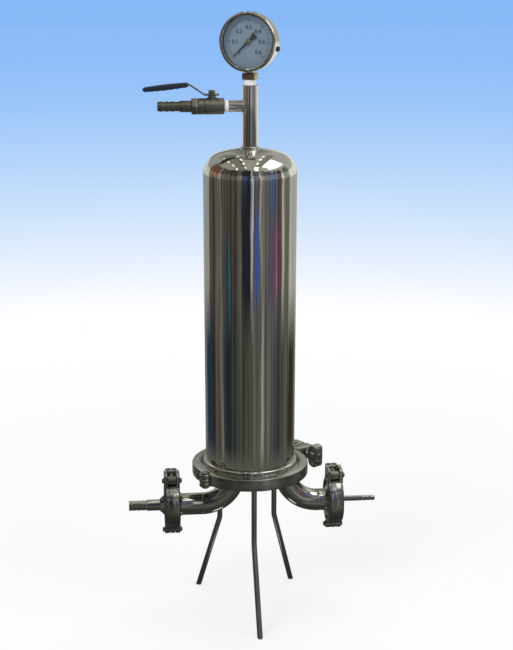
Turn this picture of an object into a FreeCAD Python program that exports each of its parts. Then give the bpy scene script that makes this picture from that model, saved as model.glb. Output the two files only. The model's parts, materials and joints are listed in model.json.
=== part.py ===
import FreeCAD, Part
import math
import os
import re
import Sketcher

from FreeCAD import Placement, Rotation, Vector

# Cartridge filter housing for one ten inch cartridge, with a clamped bell,
# two clamped hose ports, three rod legs, a vent valve and a pressure gauge.
# Millimetres. +Z is up, the floor is Z = 0, and the bell's axis is X = Y = 0.
# The outlet arm points along -X, the inlet arm along +X, and the front is -Y.

SIZES = {
    # Bell, base and the joint between them
    "joint_height": 168.1,  # floor to the middle of the body gasket
    "shell_od": 101.6,  # outside diameter of the bell's tube
    "shell_wall": 2.0,  # wall of the bell
    "shell_top": 502.5,  # height where the tube meets the domed head
    "crown_radius": 140,  # radius of the head's crown, outside
    "knuckle_radius": 25,  # radius of the head's knuckle, outside
    "flange_reach": 5.5,  # neck behind a clamped flange to the flange's rim
    "flange_rim": 2.6,  # straight rim of a flange
    "flange_taper": 20,  # slope of a flange's back, degrees
    "shoulder_width": 3.2,  # bell's tube to the neck behind its flange
    "shoulder_height": 10.2,  # bell's face to the top of its rounded shoulder
    "gasket_thick": 2.0,  # body gasket, squeezed
    "base_thick": 5.6,  # thickness of the base plate
    "base_chamfer": 0.8,  # edge of the base plate
    "cup_od": 70,  # outside of the cartridge cup
    "cup_bore": 57.2,  # bore of the cartridge cup
    "cup_depth": 28,  # depth of the cartridge cup
    "cup_lead": 1.2,  # lead-in of the cup
    "seat_gap": 0.1,  # gap left where curved faces are welded or wound
    "loose_gap": 0.3,  # gap left between faces that only meet
    "running_gap": 0.05,  # radial clearance of pins and shafts
    # Ports
    "tube_od": 25.4,  # port tube
    "tube_wall": 1.5,  # wall of the port tube
    "elbow_radius": 38.1,  # centre line radius of the elbows
    "outlet_offset": 17.5,  # axis to the outlet elbow's upright end
    "inlet_offset": 40,  # axis to the inlet elbow's upright end
    "outlet_arm": 39.8,  # bell's tube to the outlet's clamped joint
    "inlet_arm": 47.1,  # bell's tube to the inlet's clamped joint
    "outlet_hole": 19,  # hole in the base over the outlet elbow
    "inlet_slot_margin": 1.1,  # inlet slot's distance from cup and bell
    "inlet_slot_angle": 10,  # half the angle of the inlet slot, degrees
    "port_flange_od": 50.5,  # diameter of the port flanges
    "port_rim": 2.0,  # straight rim of a port flange
    "port_neck_od": 43.5,  # diameter behind a port flange's taper
    "port_neck_depth": 9.5,  # face to the end of a flange's cone
    "port_gasket": 1.6,  # port gasket, squeezed
    "outlet_tail_length": 49,  # outlet hose tail, face to tip
    "outlet_tail_root": 13,  # outlet hose tail at its root
    "outlet_tail_tip": 11.8,  # outlet hose tail at its tip
    "outlet_tail_step": 28,  # face to the tail's step
    "outlet_tail_bore": 8,  # bore of the outlet hose tail
    "outlet_cone_od": 22,  # waist of the outlet tail's cone
    "outlet_cone_depth": 9.2,  # face to the waist of the cone
    "outlet_cone_end": 13.5,  # face to the cone's end
    "inlet_tail_length": 48,  # inlet hose tail, face to tip
    "inlet_tail_od": 6.3,  # inlet hose tail
    "inlet_tail_bore": 3.6,  # bore of the inlet hose tail
    "inlet_disc": 6.4,  # thickness of the inlet tail's disc
    "groove_depth": 0.45,  # depth of the grooves in a hose tail
    "inlet_groove_pitch": 4.4,  # spacing of the inlet tail's rings
    "outlet_groove_pitch": 5.2,  # spacing of the outlet tail's rings
    # Legs
    "leg_rod": 6.2,  # diameter of the leg rods
    "leg_inset": 12,  # neck of the base to the top of a leg
    "leg_bend": 16,  # radius of the bend in a leg
    "front_drop": 74,  # base to the front leg's bend
    "rear_drop": 66,  # base to a rear leg's bend
    "front_spread": 59,  # top of the front leg to its foot, outwards
    "rear_spread": 31.7,  # top of a rear leg to its foot, outwards
    "front_azimuth": -89,  # direction of the front leg, degrees
    "right_azimuth": 42,  # direction of the right leg, degrees
    "left_azimuth": 143,  # direction of the left leg, degrees
    # Body clamp
    "clamp_azimuth": 37,  # direction of the body clamp's closing side
    "clamp_wall": 6.5,  # bottom of the body clamp's groove to its outside
    "clamp_width": 15,  # width of the body clamp
    "clamp_cover": 3.0,  # flange's rim to the edge of the body clamp's lips
    "clamp_hinge_offset": 1.5,  # body clamp's outside to its hinge pin
    "clamp_knuckle": 6.5,  # radius of the body clamp's hinge knuckle
    "clamp_bolt_offset": 14,  # body clamp's outside to its swing bolt
    "clamp_ear_offset": 23.5,  # body clamp's outside to the end of its ears
    "clamp_ear": 16,  # split to the back of the pivot ear
    "clamp_pivot": 9,  # split to the swing bolt's pivot pin
    "clamp_seat": 14,  # split to the seat of the wing nut
    "clamp_bolt": 8,  # thread of the body clamp's swing bolt
    "clamp_slot": 9.2,  # slot of the body clamp's ears
    "clamp_nut_length": 17,  # length of the body clamp's wing nut
    "clamp_nut_span": 27,  # span of the body clamp's wing nut
    "clamp_chamfer": 1.4,  # outer edges of the body clamp
    # Port clamps
    "port_clamp_wall": 2.75,  # bottom of a port clamp's groove to its outside
    "port_clamp_width": 18,  # width of a port clamp
    "port_clamp_cover": 2.5,  # flange's rim to the edge of a port clamp's lips
    "port_clamp_hinge_offset": 2.3,  # port clamp's outside to its hinge pin
    "port_clamp_knuckle": 4.6,  # radius of a port clamp's hinge knuckle
    "port_clamp_bolt_offset": 3.5,  # port clamp's outside to its swing bolt
    "port_clamp_ear_offset": 11,  # port clamp's outside to the end of its ears
    "port_clamp_ear": 13,  # split to the front of the pivot ear
    "port_clamp_pivot": 7,  # split to the port swing bolt's pivot pin
    "port_clamp_seat": 10,  # split to the seat of the port wing nut
    "port_clamp_bolt": 6,  # thread of a port clamp's swing bolt
    "port_clamp_slot": 10.6,  # slot of a port clamp's ears
    "port_clamp_nut_length": 12,  # length of a port wing nut
    "port_clamp_nut_span": 14,  # span of a port wing nut
    "port_clamp_chamfer": 2.2,  # outer edges of a port clamp
    "port_rib_height": 1.6,  # ridge on the back of a port clamp's pivot half
    "port_rib_tip": 1.4,  # width of the ridge at its lower end
    "port_rib_fall": 5,  # pipe axis to the lower end of the ridge
    # Shared clamp details
    "ear_round": 3,  # rounded corner of a pivot ear
    "split_gap": 1.2,  # each clamp half to the split plane
    "taper_gap": 0.2,  # clamp groove to the flanges' slopes
    "rim_gap": 0.5,  # clamp groove to the flanges' rims
    "pin_share": 0.42,  # hinge pin as a share of its knuckle
    "pin_head": 2.2,  # height of a pin's head
    "washer_thick": 1.6,  # washer under a wing nut
    # Head of the bell: stem, branch and valve
    "stem_od": 16.8,  # upright stem on the dome
    "stem_bore": 11,  # bore of the stem
    "stem_length": 65.6,  # dome to the top of the stem
    "weld_width": 2.4,  # weld bead round the stem's foot
    "branch_height": 44.3,  # dome to the branch's axis
    "branch_od": 12,  # branch tube
    "branch_bore": 6,  # bore of the branch
    "branch_reach": 23.3,  # axis to the end of the branch tube
    "thread_od": 10.4,  # outside of the tapered threads, over the crests
    "thread_length": 9,  # length of thread inside the stem
    "tape_width": 6,  # wound tape under the gauge
    "tape_od": 13,  # outside of the wound tape
    "valve_start": 27.5,  # axis to the valve body's near end
    "valve_od": 17,  # valve body
    "valve_body_length": 21.5,  # valve body to its seam
    "valve_cap_length": 13.4,  # length of the valve's end cap
    "valve_collar": 6.4,  # hexagon on the end cap
    "valve_pivot": 12.9,  # valve body's near end to the stem
    "valve_socket": 5.4,  # depth of the valve's near socket
    "ball_od": 11.6,  # ball
    "ball_bore": 5.2,  # bore of the ball
    "seat_id": 6.4,  # bore of the ball's seats
    "seat_od": 13.2,  # outside of the ball's seats
    "seat_depth": 1.85,  # thickness of a ball's seat
    "bonnet_od": 10.6,  # boss round the valve's stem
    "bonnet_height": 9.4,  # pipe axis to the top of the boss
    "spindle_od": 4,  # valve stem
    "gland_height": 1.5,  # packing nut
    "gland_flats": 7.4,  # packing nut across flats
    "tang_thick": 1.4,  # flat tang that turns the ball
    "tang_depth": 1.5,  # depth of the ball's slot
    "lever_thick": 1.6,  # lever strap
    "lever_width": 9,  # lever strap's width
    "lever_tab": 7.5,  # stop tab behind the lever's pivot
    "lever_flat": 8.5,  # pivot to the lever's first bend
    "lever_run": 15.5,  # first bend to the grip, along the pipe
    "lever_rise": 10.5,  # first bend to the grip, upwards
    "grip_length": 49,  # vinyl grip
    "grip_fall": 5.2,  # fall of the grip towards its end
    "grip_thick": 5.6,  # thickness of the grip
    "grip_width": 11.6,  # width of the grip
    "grip_round": 1.6,  # rounded end of the grip
    "nut_height": 3.8,  # lever nut
    "nut_flats": 6.6,  # lever nut across flats
    "vent_tail_length": 36,  # vent hose tail outside the valve
    "vent_tail_root": 12.2,  # vent hose tail at its root
    "vent_tail_waist": 10,  # vent hose tail between its rings
    "vent_tail_ring": 11,  # rings of the vent hose tail
    "vent_tail_pitch": 6.2,  # spacing of the vent tail's rings
    "vent_tail_bore": 5.4,  # bore of the vent hose tail
    # Gauge
    "gauge_height": 44.6,  # top of the stem to the gauge's centre
    "gauge_turn": -22,  # gauge's face turned from the front, degrees
    "case_od": 58,  # gauge case
    "case_wall": 1.2,  # wall of the gauge case
    "case_back": 12,  # stem's axis to the back of the case
    "case_front": 8.8,  # stem's axis to the case's front edge
    "bezel_od": 61.4,  # bezel
    "bezel_lip": 54,  # opening of the bezel
    "bezel_front": 12.5,  # stem's axis to the front of the bezel
    "bezel_skirt": 4.8,  # stem's axis to the end of the bezel's skirt
    "window_thick": 1.6,  # gauge window
    "window_depth": 1.8,  # bezel's front to the window
    "dial_level": 4.8,  # stem's axis to the back of the dial
    "dial_thick": 0.6,  # dial plate
    "block_width": 14,  # brass block across flats
    "block_height": 7,  # brass block outside the case
    "block_inside": 6.8,  # depth of the brass block inside the case
    "block_rise": 9,  # height of the brass block inside the case
    "pointer_reach": 22,  # pointer's tip from the centre
    "pointer_tail": 10.5,  # pointer's tail from the centre
    "pointer_thick": 0.5,  # pointer
    "pointer_level": 7,  # stem's axis to the back of the pointer
    "pointer_angle": -138,  # direction of the pointer at rest, degrees
    "arbor_od": 1.8,  # pointer arbor
    "pinion_teeth": 8,  # teeth of the pinion
    "sector_teeth": 64,  # teeth of the whole sector wheel
    "sector_lead": 10,  # sector's edge below the mesh at rest, degrees
    "sector_reach": 39,  # sector's edge above the mesh at rest, degrees
    "gear_module": 0.45,  # tooth size of the movement
    "bourdon_radius": 21,  # centre line of the pressure tube
    "bourdon_depth": 4.5,  # depth of the pressure tube
    "bourdon_thick": 2.4,  # thickness of the pressure tube
    "bourdon_start": -75,  # direction of the pressure tube's fixed end, degrees
    "bourdon_sweep": 255,  # pressure tube's arc, degrees
    "bezel_round": 1.8,  # rounded edge of the bezel
    "neck_pipe_r": 4.2,  # radius of the brass neck in the case's wall
    "block_level": 17,  # dial's centre to the top of the inner block
    "frame_level": -3.4,  # back plate of the movement
    "plate_thick": 0.8,  # plates of the movement
    "plate_reach": 5,  # edge of the movement's plates
    "gear_low": -1.8,  # back of the gears
    "gear_width": 1.5,  # width of the gears
    "hub_r": 2.3,  # radius of the pointer's hub
    "plug_angle": -14,  # direction of the vent plug, degrees
    "plug_r": 2.8,  # radius of the vent plug
    "plug_height": 3,  # height of the vent plug
    # Cartridge
    "cartridge_od": 69,  # cartridge
    "cartridge_length": 254,  # cartridge between its ends
    "cap_height": 11,  # cartridge's end caps
    "cage_wall": 1.4,  # outer cage
    "cage_windows": 6,  # windows round the cage
    "cage_rows": 6,  # rows of windows
    "core_od": 34,  # core
    "core_wall": 2,  # wall of the core
    "pleat_count": 36,  # pleats of the membrane
    "pleat_thick": 1.6,  # pleated layers, measured along a radius
    "plug_od": 56.8,  # adapter's plug
    "ring_wire": 3.4,  # thickness of the adapter's sealing rings
    "fin_height": 34,  # fin on the cartridge's top cap
}

os.makedirs("parts", exist_ok=True)
doc = FreeCAD.newDocument("CartridgeFilter")
sheet = doc.addObject("Spreadsheet::Sheet", "Sizes")
places = doc.addObject("App::VarSet", "Places")
place_names = []
pieces = []
for row, (name, number) in enumerate(SIZES.items(), 1):
    sheet.set(f"A{row}", name)
    sheet.set(f"B{row}", str(number))
    sheet.setAlias(f"B{row}", name)
doc.recompute()


def owned(match):
    """Puts the sheet's or the set's name in front of a plain name."""
    name = match.group()
    if name in place_names:
        return "Places." + name
    if name in SIZES:
        return "Sizes." + name
    return name


def formula(text):
    """Turns a formula on plain names into an expression of the document."""
    return re.sub(r"[a-z][a-z_]+", owned, text)


def value(text):
    return float(places.evalExpression(formula(text)))


def place(name, text):
    """Works out one dimension from others, and keeps it as a bound property."""
    places.addProperty("App::PropertyFloat", name)
    places.setExpression(name, formula(text))
    place_names.append(name)
    doc.recompute([places])


# Places worked out from the sizes
place("shell_r", "shell_od / 2")
place("shell_ir", "shell_r - shell_wall")
place("neck_r", "shell_r + shoulder_width")
place("flange_r", "neck_r + flange_reach")
place("neck_drop", "flange_rim + (flange_r - neck_r) * tan(flange_taper)")
place("bell_face", "joint_height + gasket_thick / 2")
place("base_face", "joint_height - gasket_thick / 2")
place("base_bottom", "base_face - base_thick")
place("shoulder_top", "bell_face + shoulder_height")
place("leg_circle", "neck_r - leg_inset")
place("front_reach", "leg_circle + front_spread")
place("rear_reach", "leg_circle + rear_spread")
place("cup_r", "cup_od / 2")
place("cup_ir", "cup_bore / 2")
place("cup_top", "base_face + cup_depth")
place("head_ratio", "(shell_r - knuckle_radius) / (crown_radius - knuckle_radius)")
place("head_side", "sqrt(1 - head_ratio ^ 2)")
place("crown_center", "shell_top - (crown_radius - knuckle_radius) * head_side")
place("crown_ir", "crown_radius - shell_wall")
place("dome_apex", "crown_center + crown_radius")
place("stem_r", "stem_od / 2")
place("bore_r", "stem_bore / 2")
place("thread_r", "thread_od / 2")
place("weld_r", "stem_r + weld_width")
place("stem_crown", "crown_radius + seat_gap")
place("stem_top", "dome_apex + stem_length")
place("branch_axis", "dome_apex + branch_height")
place("gauge_center", "stem_top + gauge_height")
place("port_axis", "base_bottom - elbow_radius")
place("outlet_joint", "shell_r + outlet_arm")
place("inlet_joint", "shell_r + inlet_arm")
place("tube_r", "tube_od / 2")
place("tube_ir", "tube_r - tube_wall")
place("port_flange_r", "port_flange_od / 2")
place("port_neck_r", "port_neck_od / 2")
place("valve_r", "valve_od / 2")
place("chamber_r", "seat_od / 2 + seat_gap")
place("seat_stack", "sqrt((ball_od / 2) ^ 2 - (seat_id / 2) ^ 2) + seat_gap + seat_depth")
place("valve_end", "valve_body_length + valve_cap_length")
place("lever_level", "bonnet_height + gland_height + loose_gap")
place("grip_start", "valve_pivot + lever_flat + lever_run")
place("spindle_top", "lever_level + lever_thick + nut_height + seat_gap")
place("case_r", "case_od / 2")
place("bezel_r", "bezel_od / 2")
place("gear_center", "gear_module * (pinion_teeth + sector_teeth) / 2")
place("plug_bottom", "base_face + cup_lead")
place("plug_r_out", "plug_od / 2")
place("ring_low", "plug_bottom + ring_wire * 1.6")
place("ring_high", "ring_low + ring_wire * 2")
place("groove_half", "ring_wire / 2 + loose_gap")
place("groove_r", "cup_ir - ring_wire - seat_gap")
place("adapter_face", "cup_top + loose_gap")
place("cage_low", "adapter_face + cap_height")
place("cage_high", "cage_low + cartridge_length - 2 * cap_height")
place("core_bore_r", "core_od / 2 - core_wall")
place("port_neck_drop", "port_rim + (port_flange_r - port_neck_r) * tan(flange_taper)")


def fail(text):
    raise RuntimeError(text)


def check_state():
    """Stops when any object of the document failed to build."""
    doc.recompute()
    for thing in doc.Objects:
        if "Invalid" in thing.State or "Error" in thing.State:
            fail(f"{thing.Label} is {thing.State}")


# Drawing
def new_body(label):
    body = doc.addObject("PartDesign::Body", label)
    body.Label = label
    return body


def arc_between(start, end, radius):
    """A short arc from start to end; a negative radius runs clockwise."""
    middle = (start + end) / 2
    half = (end - start).Length / 2
    along = (end - start).normalize()
    left = Vector(-along.y, along.x, 0)
    rise = math.sqrt(max(radius * radius - half * half, 0))
    center = middle + left * math.copysign(rise, radius)
    first, last = (start, end) if radius > 0 else (end, start)
    begin = math.atan2(first.y - center.y, first.x - center.x)
    finish = math.atan2(last.y - center.y, last.x - center.x)
    circle = Part.Circle(center, Vector(0, 0, 1), abs(radius))
    return Part.ArcOfCircle(circle, begin, finish)


def bind(sketch, kind, first, second, text):
    """Adds one distance or radius to a sketch, and binds it to a formula."""
    number = value(text)
    if kind == "Radius":
        index = sketch.addConstraint(Sketcher.Constraint(kind, first, number))
    else:
        index = sketch.addConstraint(Sketcher.Constraint(kind, -1, 1, first, second, number))
    sketch.setExpression(f"Constraints[{index}]", formula(text))


def draw_circle(sketch, x, y, radius):
    circle = Part.Circle(Vector(value(x), value(y), 0), Vector(0, 0, 1), value(radius))
    index = sketch.addGeometry(circle)
    bind(sketch, "DistanceX", index, 3, x)
    bind(sketch, "DistanceY", index, 3, y)
    bind(sketch, "Radius", index, None, radius)


def draw_path(sketch, corners, closed=True):
    """Draws lines and arcs through the corners, each bound to its formulas.

    A corner is (x, y), or (x, y, radius) where an arc arrives at it.
    """
    points = [Vector(value(corner[0]), value(corner[1]), 0) for corner in corners]
    count = len(corners) if closed else len(corners) - 1
    starts, ends, firsts = [], [], []
    for index in range(count):
        target = (index + 1) % len(corners)
        if len(corners[target]) == 3:
            radius = value(corners[target][2])
            curve = arc_between(points[index], points[target], radius)
            place_index = sketch.addGeometry(curve)
            forward = radius > 0
            bind(sketch, "Radius", place_index, None, f"abs({corners[target][2]})")
        else:
            place_index = sketch.addGeometry(Part.LineSegment(points[index], points[target]))
            forward = True
        firsts.append(place_index)
        starts.append(1 if forward else 2)
        ends.append(2 if forward else 1)
    for index in range(count if closed else count - 1):
        follower = (index + 1) % count
        joint = (firsts[index], ends[index], firsts[follower], starts[follower])
        sketch.addConstraint(Sketcher.Constraint("Coincident", *joint))
    for index, corner in enumerate(corners):
        at_start = index < count
        geometry = firsts[index] if at_start else firsts[-1]
        vertex = starts[index] if at_start else ends[-1]
        bind(sketch, "DistanceX", geometry, vertex, corner[0])
        bind(sketch, "DistanceY", geometry, vertex, corner[1])


def draw(body, role, loops, level="0", closed=True):
    """A sketch on one of the body's own planes, raised by level."""
    plane = next(item for item in body.Origin.OriginFeatures if item.Role == role)
    sketch = body.newObject("Sketcher::SketchObject", body.Label + "_sketch")
    sketch.AttachmentSupport = [(plane, "")]
    sketch.MapMode = "FlatFace"
    sketch.setExpression("AttachmentOffset.Base.z", formula(level))
    for loop in loops:
        if loop[0] == "circle":
            draw_circle(sketch, *loop[1:])
        else:
            draw_path(sketch, loop, closed)
    doc.recompute()
    return sketch


def rectangle(left, right, low, high):
    return [(left, low), (right, low), (right, high), (left, high)]


def turn(body, corners, angle="360", symmetric=False, role="XZ_Plane"):
    """Revolves a section about the body's Z axis. Corners are (radius, height)."""
    sketch = draw(body, role, [corners])
    feature = body.newObject("PartDesign::Revolution", body.Label + "_turned")
    feature.Profile = sketch
    feature.ReferenceAxis = (sketch, ["V_Axis"])
    feature.Midplane = symmetric
    feature.setExpression("Angle", formula(angle))
    doc.recompute()
    return feature


def pad(body, role, loops, length, level="0", symmetric=False):
    sketch = draw(body, role, loops, level)
    feature = body.newObject("PartDesign::Pad", body.Label + "_pad")
    feature.Profile = sketch
    feature.setExpression("Length", formula(length))
    if symmetric:
        feature.SideType = "Symmetric"
    doc.recompute()
    return feature


def pocket(body, role, loops, length=None, level="0", symmetric=False):
    """Cuts loops out of a body, right through unless a depth is given."""
    before = body.Shape.Volume
    sketch = draw(body, role, loops, level)
    feature = body.newObject("PartDesign::Pocket", body.Label + "_pocket")
    feature.Profile = sketch
    if length is None:
        feature.Type = "ThroughAll"
        feature.SideType = "Symmetric"
    else:
        feature.setExpression("Length", formula(length))
        if symmetric:
            feature.SideType = "Symmetric"
    doc.recompute()
    if body.Shape.Volume >= before:
        fail(f"a pocket of {body.Label} cuts nothing")
    return feature


def repeat(body, feature, count):
    """Repeats a feature round the body's Z axis."""
    axis = next(item for item in body.Origin.OriginFeatures if item.Role == "Z_Axis")
    pattern = body.newObject("PartDesign::PolarPattern", body.Label + "_pattern")
    pattern.Originals = [feature]
    pattern.Axis = (axis, [""])
    pattern.setExpression("Occurrences", formula(count))
    body.Tip = pattern
    doc.recompute()


def solid(kind, name, sizes, at=("0", "0", "0"), rotation=None):
    """A Part primitive with its sizes and its place bound to formulas."""
    thing = doc.addObject("Part::" + kind, name)
    for key, text in sizes.items():
        thing.setExpression(key, formula(text))
    settle(thing, at, rotation)
    return thing


def settle(thing, at=("0", "0", "0"), rotation=None):
    """Turns a thing and binds its position to formulas."""
    thing.Placement = Placement(Vector(), rotation or Rotation())
    for axis, text in zip("xyz", at):
        thing.setExpression("Placement.Base." + axis, formula(text))


def round_bar(name, radius, height, at, rotation=None):
    return solid("Cylinder", name, {"Radius": radius, "Height": height}, at, rotation)


def cut(label, base, tool):
    thing = doc.addObject("Part::Cut", label)
    thing.Label = label
    thing.Base = base
    thing.Tool = tool
    return thing


def fuse(label, parts):
    thing = doc.addObject("Part::MultiFuse", label)
    thing.Label = label
    thing.Shapes = parts
    return thing


def keep(piece, at=("0", "0", "0"), rotation=None):
    """Places a finished sub-part and puts it on the list to be written."""
    settle(piece, at, rotation)
    pieces.append(piece)


# Frames that several pieces share. Z of a port's frame points out along its
# arm and X points up; Z of the gauge's frame points out of its dial and Y up.
INLET_TURN = Rotation(Vector(1, 0, 1), 180)
OUTLET_TURN = Rotation(Vector(0, 1, 0), -90)
ACROSS = Rotation(Vector(1, 0, 0), 90)
HEX_ANGLES = [30 + 60 * step for step in range(6)]


def hexagon(flats, x="0", y="0"):
    """Corners of a hexagon of a given width across flats."""
    corners = []
    for angle in HEX_ANGLES:
        reach = f"{flats} / 2 / cos(30)"
        corners.append((f"{x} + {reach} * cos({angle})", f"{y} + {reach} * sin({angle})"))
    return corners


# Bell and what closes it
def bell_shell():
    """Tube with its domed head, open at the foot and under the stem."""
    body = new_body("bell_shell")
    outer_touch = ("crown_radius * head_ratio", "crown_center + crown_radius * head_side")
    inner_touch = ("crown_ir * head_ratio", "crown_center + crown_ir * head_side")
    turn(body, [
        ("shell_ir", "bell_face"),
        ("shell_r", "bell_face"),
        ("shell_r", "shell_top"),
        (*outer_touch, "knuckle_radius"),
        ("bore_r", "crown_center + sqrt(crown_radius ^ 2 - bore_r ^ 2)", "crown_radius"),
        ("bore_r", "crown_center + sqrt(crown_ir ^ 2 - bore_r ^ 2)"),
        (*inner_touch, "-crown_ir"),
        ("shell_ir", "shell_top", "-(knuckle_radius - shell_wall)"),
    ])
    keep(body)


def bell_flange():
    """Turned ring, welded round the foot of the tube, with a rounded shoulder."""
    body = new_body("bell_flange")
    bore = "shell_r + seat_gap"
    shoulder = f"neck_r - ({bore})"
    turn(body, [
        (bore, "bell_face"),
        ("flange_r", "bell_face"),
        ("flange_r", "bell_face + flange_rim"),
        ("neck_r", "bell_face + neck_drop"),
        ("neck_r", f"shoulder_top - ({shoulder})"),
        (bore, "shoulder_top", shoulder),
    ])
    keep(body)


def top_tee():
    """Stem and branch in one weldment, seated on the dome's crown."""
    body = new_body("top_tee")
    turn(body, [
        ("0", "crown_center + stem_crown", "stem_crown"),
        ("0", "stem_top"),
        ("stem_r", "stem_top"),
        ("stem_r", "crown_center + sqrt(stem_crown ^ 2 - stem_r ^ 2) + weld_width"),
        ("weld_r", "crown_center + sqrt(stem_crown ^ 2 - weld_r ^ 2)", "0 - weld_width * 1.3"),
    ])
    branch = ["circle", "0", "branch_axis", "branch_od / 2"]
    pad(body, "YZ_Plane", [branch], "branch_reach - stem_r / 2", "0 - branch_reach")
    thread = ["circle", "0", "branch_axis", "thread_r"]
    pad(body, "YZ_Plane", [thread], "valve_start + valve_socket - branch_reach - loose_gap",
        "0 - (valve_start + valve_socket - loose_gap)")
    pocket(body, "XY_Plane", [["circle", "0", "0", "bore_r"]])
    passage = ["circle", "0", "branch_axis", "branch_bore / 2"]
    pocket(body, "YZ_Plane", [passage], "valve_start + valve_socket")
    keep(body)


def housing_base():
    """Base plate with the cup that the cartridge plugs into."""
    body = new_body("housing_base")
    turn(body, [
        ("0", "base_bottom"),
        ("neck_r - base_chamfer", "base_bottom"),
        ("neck_r", "base_bottom + base_chamfer"),
        ("neck_r", "base_face - neck_drop"),
        ("flange_r", "base_face - flange_rim"),
        ("flange_r", "base_face"),
        ("cup_r", "base_face"),
        ("cup_r", "cup_top"),
        ("cup_ir + cup_lead", "cup_top"),
        ("cup_ir", "cup_top - cup_lead"),
        ("cup_ir", "base_face"),
        ("0", "base_face"),
    ])
    pocket(body, "XY_Plane", [["circle", "0 - outlet_offset", "0", "outlet_hole / 2"]])
    inner = "(cup_r + inlet_slot_margin)"
    outer = "(shell_ir - inlet_slot_margin)"
    side = "inlet_slot_angle"
    pocket(body, "XY_Plane", [[
        (f"{outer} * cos({side})", f"0 - {outer} * sin({side})"),
        (f"{outer} * cos({side})", f"{outer} * sin({side})", outer),
        (f"{inner} * cos({side})", f"{inner} * sin({side})"),
        (f"{inner} * cos({side})", f"0 - {inner} * sin({side})", f"-{inner}"),
    ]])
    keep(body)


def ring(label, inner, outer, low, high, at=("0", "0", "0"), rotation=None):
    """A plain ring with a square section."""
    body = new_body(label)
    turn(body, rectangle(inner, outer, low, high))
    keep(body, at, rotation)
    return body


def body_gasket():
    ring("body_gasket", "shell_ir", "flange_r - rim_gap", "base_face", "bell_face")


def leg(label, azimuth, drop, reach):
    """A rod that hangs from the base, bends outwards and is cut level."""
    body = new_body(label)
    run = f"({reach} - leg_circle)"
    fall = f"(base_bottom - {drop})"
    slope = f"sqrt({run} ^ 2 + {fall} ^ 2)"
    back = f"leg_bend * ({slope} - {fall}) / {run}"
    over = "leg_rod"
    spine = draw(body, "XZ_Plane", [[
        ("0", "0"),
        ("0", f"0 - ({drop} - {back})"),
        (f"{back} * {run} / {slope}", f"0 - ({drop} + {back} * {fall} / {slope})", "leg_bend"),
        (f"{run} * (1 + {over} / {slope})", f"0 - ({drop} + {fall} * (1 + {over} / {slope}))"),
    ]], closed=False)
    profile = draw(body, "XY_Plane", [["circle", "0", "0", "leg_rod / 2"]])
    pipe = body.newObject("PartDesign::AdditivePipe", label + "_pipe")
    pipe.Profile = profile
    pipe.Spine = spine
    doc.recompute()
    foot = rectangle(f"{run} - 2 * leg_rod", f"{run} + 3 * leg_rod",
                     "0 - base_bottom - 2 * leg_rod", "0 - base_bottom")
    pocket(body, "XZ_Plane", [foot])
    keep(body, (f"leg_circle * cos({azimuth})", f"leg_circle * sin({azimuth})", "base_bottom"),
         Rotation(Vector(0, 0, 1), value(azimuth)))


def port_elbow(label, straight, at, rotation):
    """Flanged tube and elbow. Z points out of the flange and X up."""
    body = new_body(label)
    turn(body, [
        ("tube_ir", f"0 - {straight}"),
        ("tube_r", f"0 - {straight}"),
        ("tube_r", "0 - port_neck_depth"),
        ("port_neck_r", "0 - port_neck_drop"),
        ("port_flange_r", "0 - port_rim"),
        ("port_flange_r", "0"),
        ("tube_ir", "0"),
    ])
    spine = draw(body, "XZ_Plane", [[
        ("0", f"0 - {straight}"),
        ("elbow_radius", f"0 - {straight} - elbow_radius", "elbow_radius"),
    ]], closed=False)
    walls = [["circle", "0", "0", "tube_r"], ["circle", "0", "0", "tube_ir"]]
    profile = draw(body, "XY_Plane", walls, f"0 - {straight}")
    pipe = body.newObject("PartDesign::AdditivePipe", label + "_bend")
    pipe.Profile = profile
    pipe.Spine = spine
    doc.recompute()
    keep(body, at, rotation)


def ports():
    outlet_straight = "(outlet_joint - port_gasket / 2 - outlet_offset - elbow_radius)"
    inlet_straight = "(inlet_joint - port_gasket / 2 - inlet_offset - elbow_radius)"
    port_elbow("outlet_elbow", outlet_straight,
               ("port_gasket / 2 - outlet_joint", "0", "port_axis"), OUTLET_TURN)
    port_elbow("inlet_elbow", inlet_straight,
               ("inlet_joint - port_gasket / 2", "0", "port_axis"), INLET_TURN)
    gaskets = []
    for name, middle in (("outlet", "0 - outlet_joint"), ("inlet", "inlet_joint")):
        body = new_body(name + "_gasket")
        turn(body, rectangle("tube_ir", "port_flange_r - rim_gap",
                             "0 - port_gasket / 2", "port_gasket / 2"))
        settle(body, (middle, "0", "port_axis"), INLET_TURN)
        gaskets.append(body)
    group = doc.addObject("Part::Compound", "port_gaskets")
    group.Links = gaskets
    keep(group)


def outlet_hose_tail():
    body = new_body("outlet_hose_tail")
    crest = "outlet_tail_tip / 2"
    valley = "(outlet_tail_tip / 2 - groove_depth)"
    corners = [
        ("outlet_tail_bore / 2", "0"),
        ("port_flange_r", "0"),
        ("port_flange_r", "port_rim"),
        ("port_neck_r", "port_neck_drop"),
        ("outlet_cone_od / 2", "outlet_cone_depth"),
        ("outlet_tail_root / 2", "outlet_cone_end"),
        ("outlet_tail_root / 2", "outlet_tail_step"),
    ]
    for step in range(4):
        start = f"outlet_tail_step + {step} * outlet_groove_pitch"
        corners.append((valley, f"{start} + 0.2 * outlet_groove_pitch"))
        corners.append((crest, f"{start} + outlet_groove_pitch"))
    corners.append((valley, "outlet_tail_length"))
    corners.append(("outlet_tail_bore / 2", "outlet_tail_length"))
    turn(body, corners)
    keep(body, ("0 - outlet_joint - port_gasket / 2", "0", "port_axis"), OUTLET_TURN)


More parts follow.
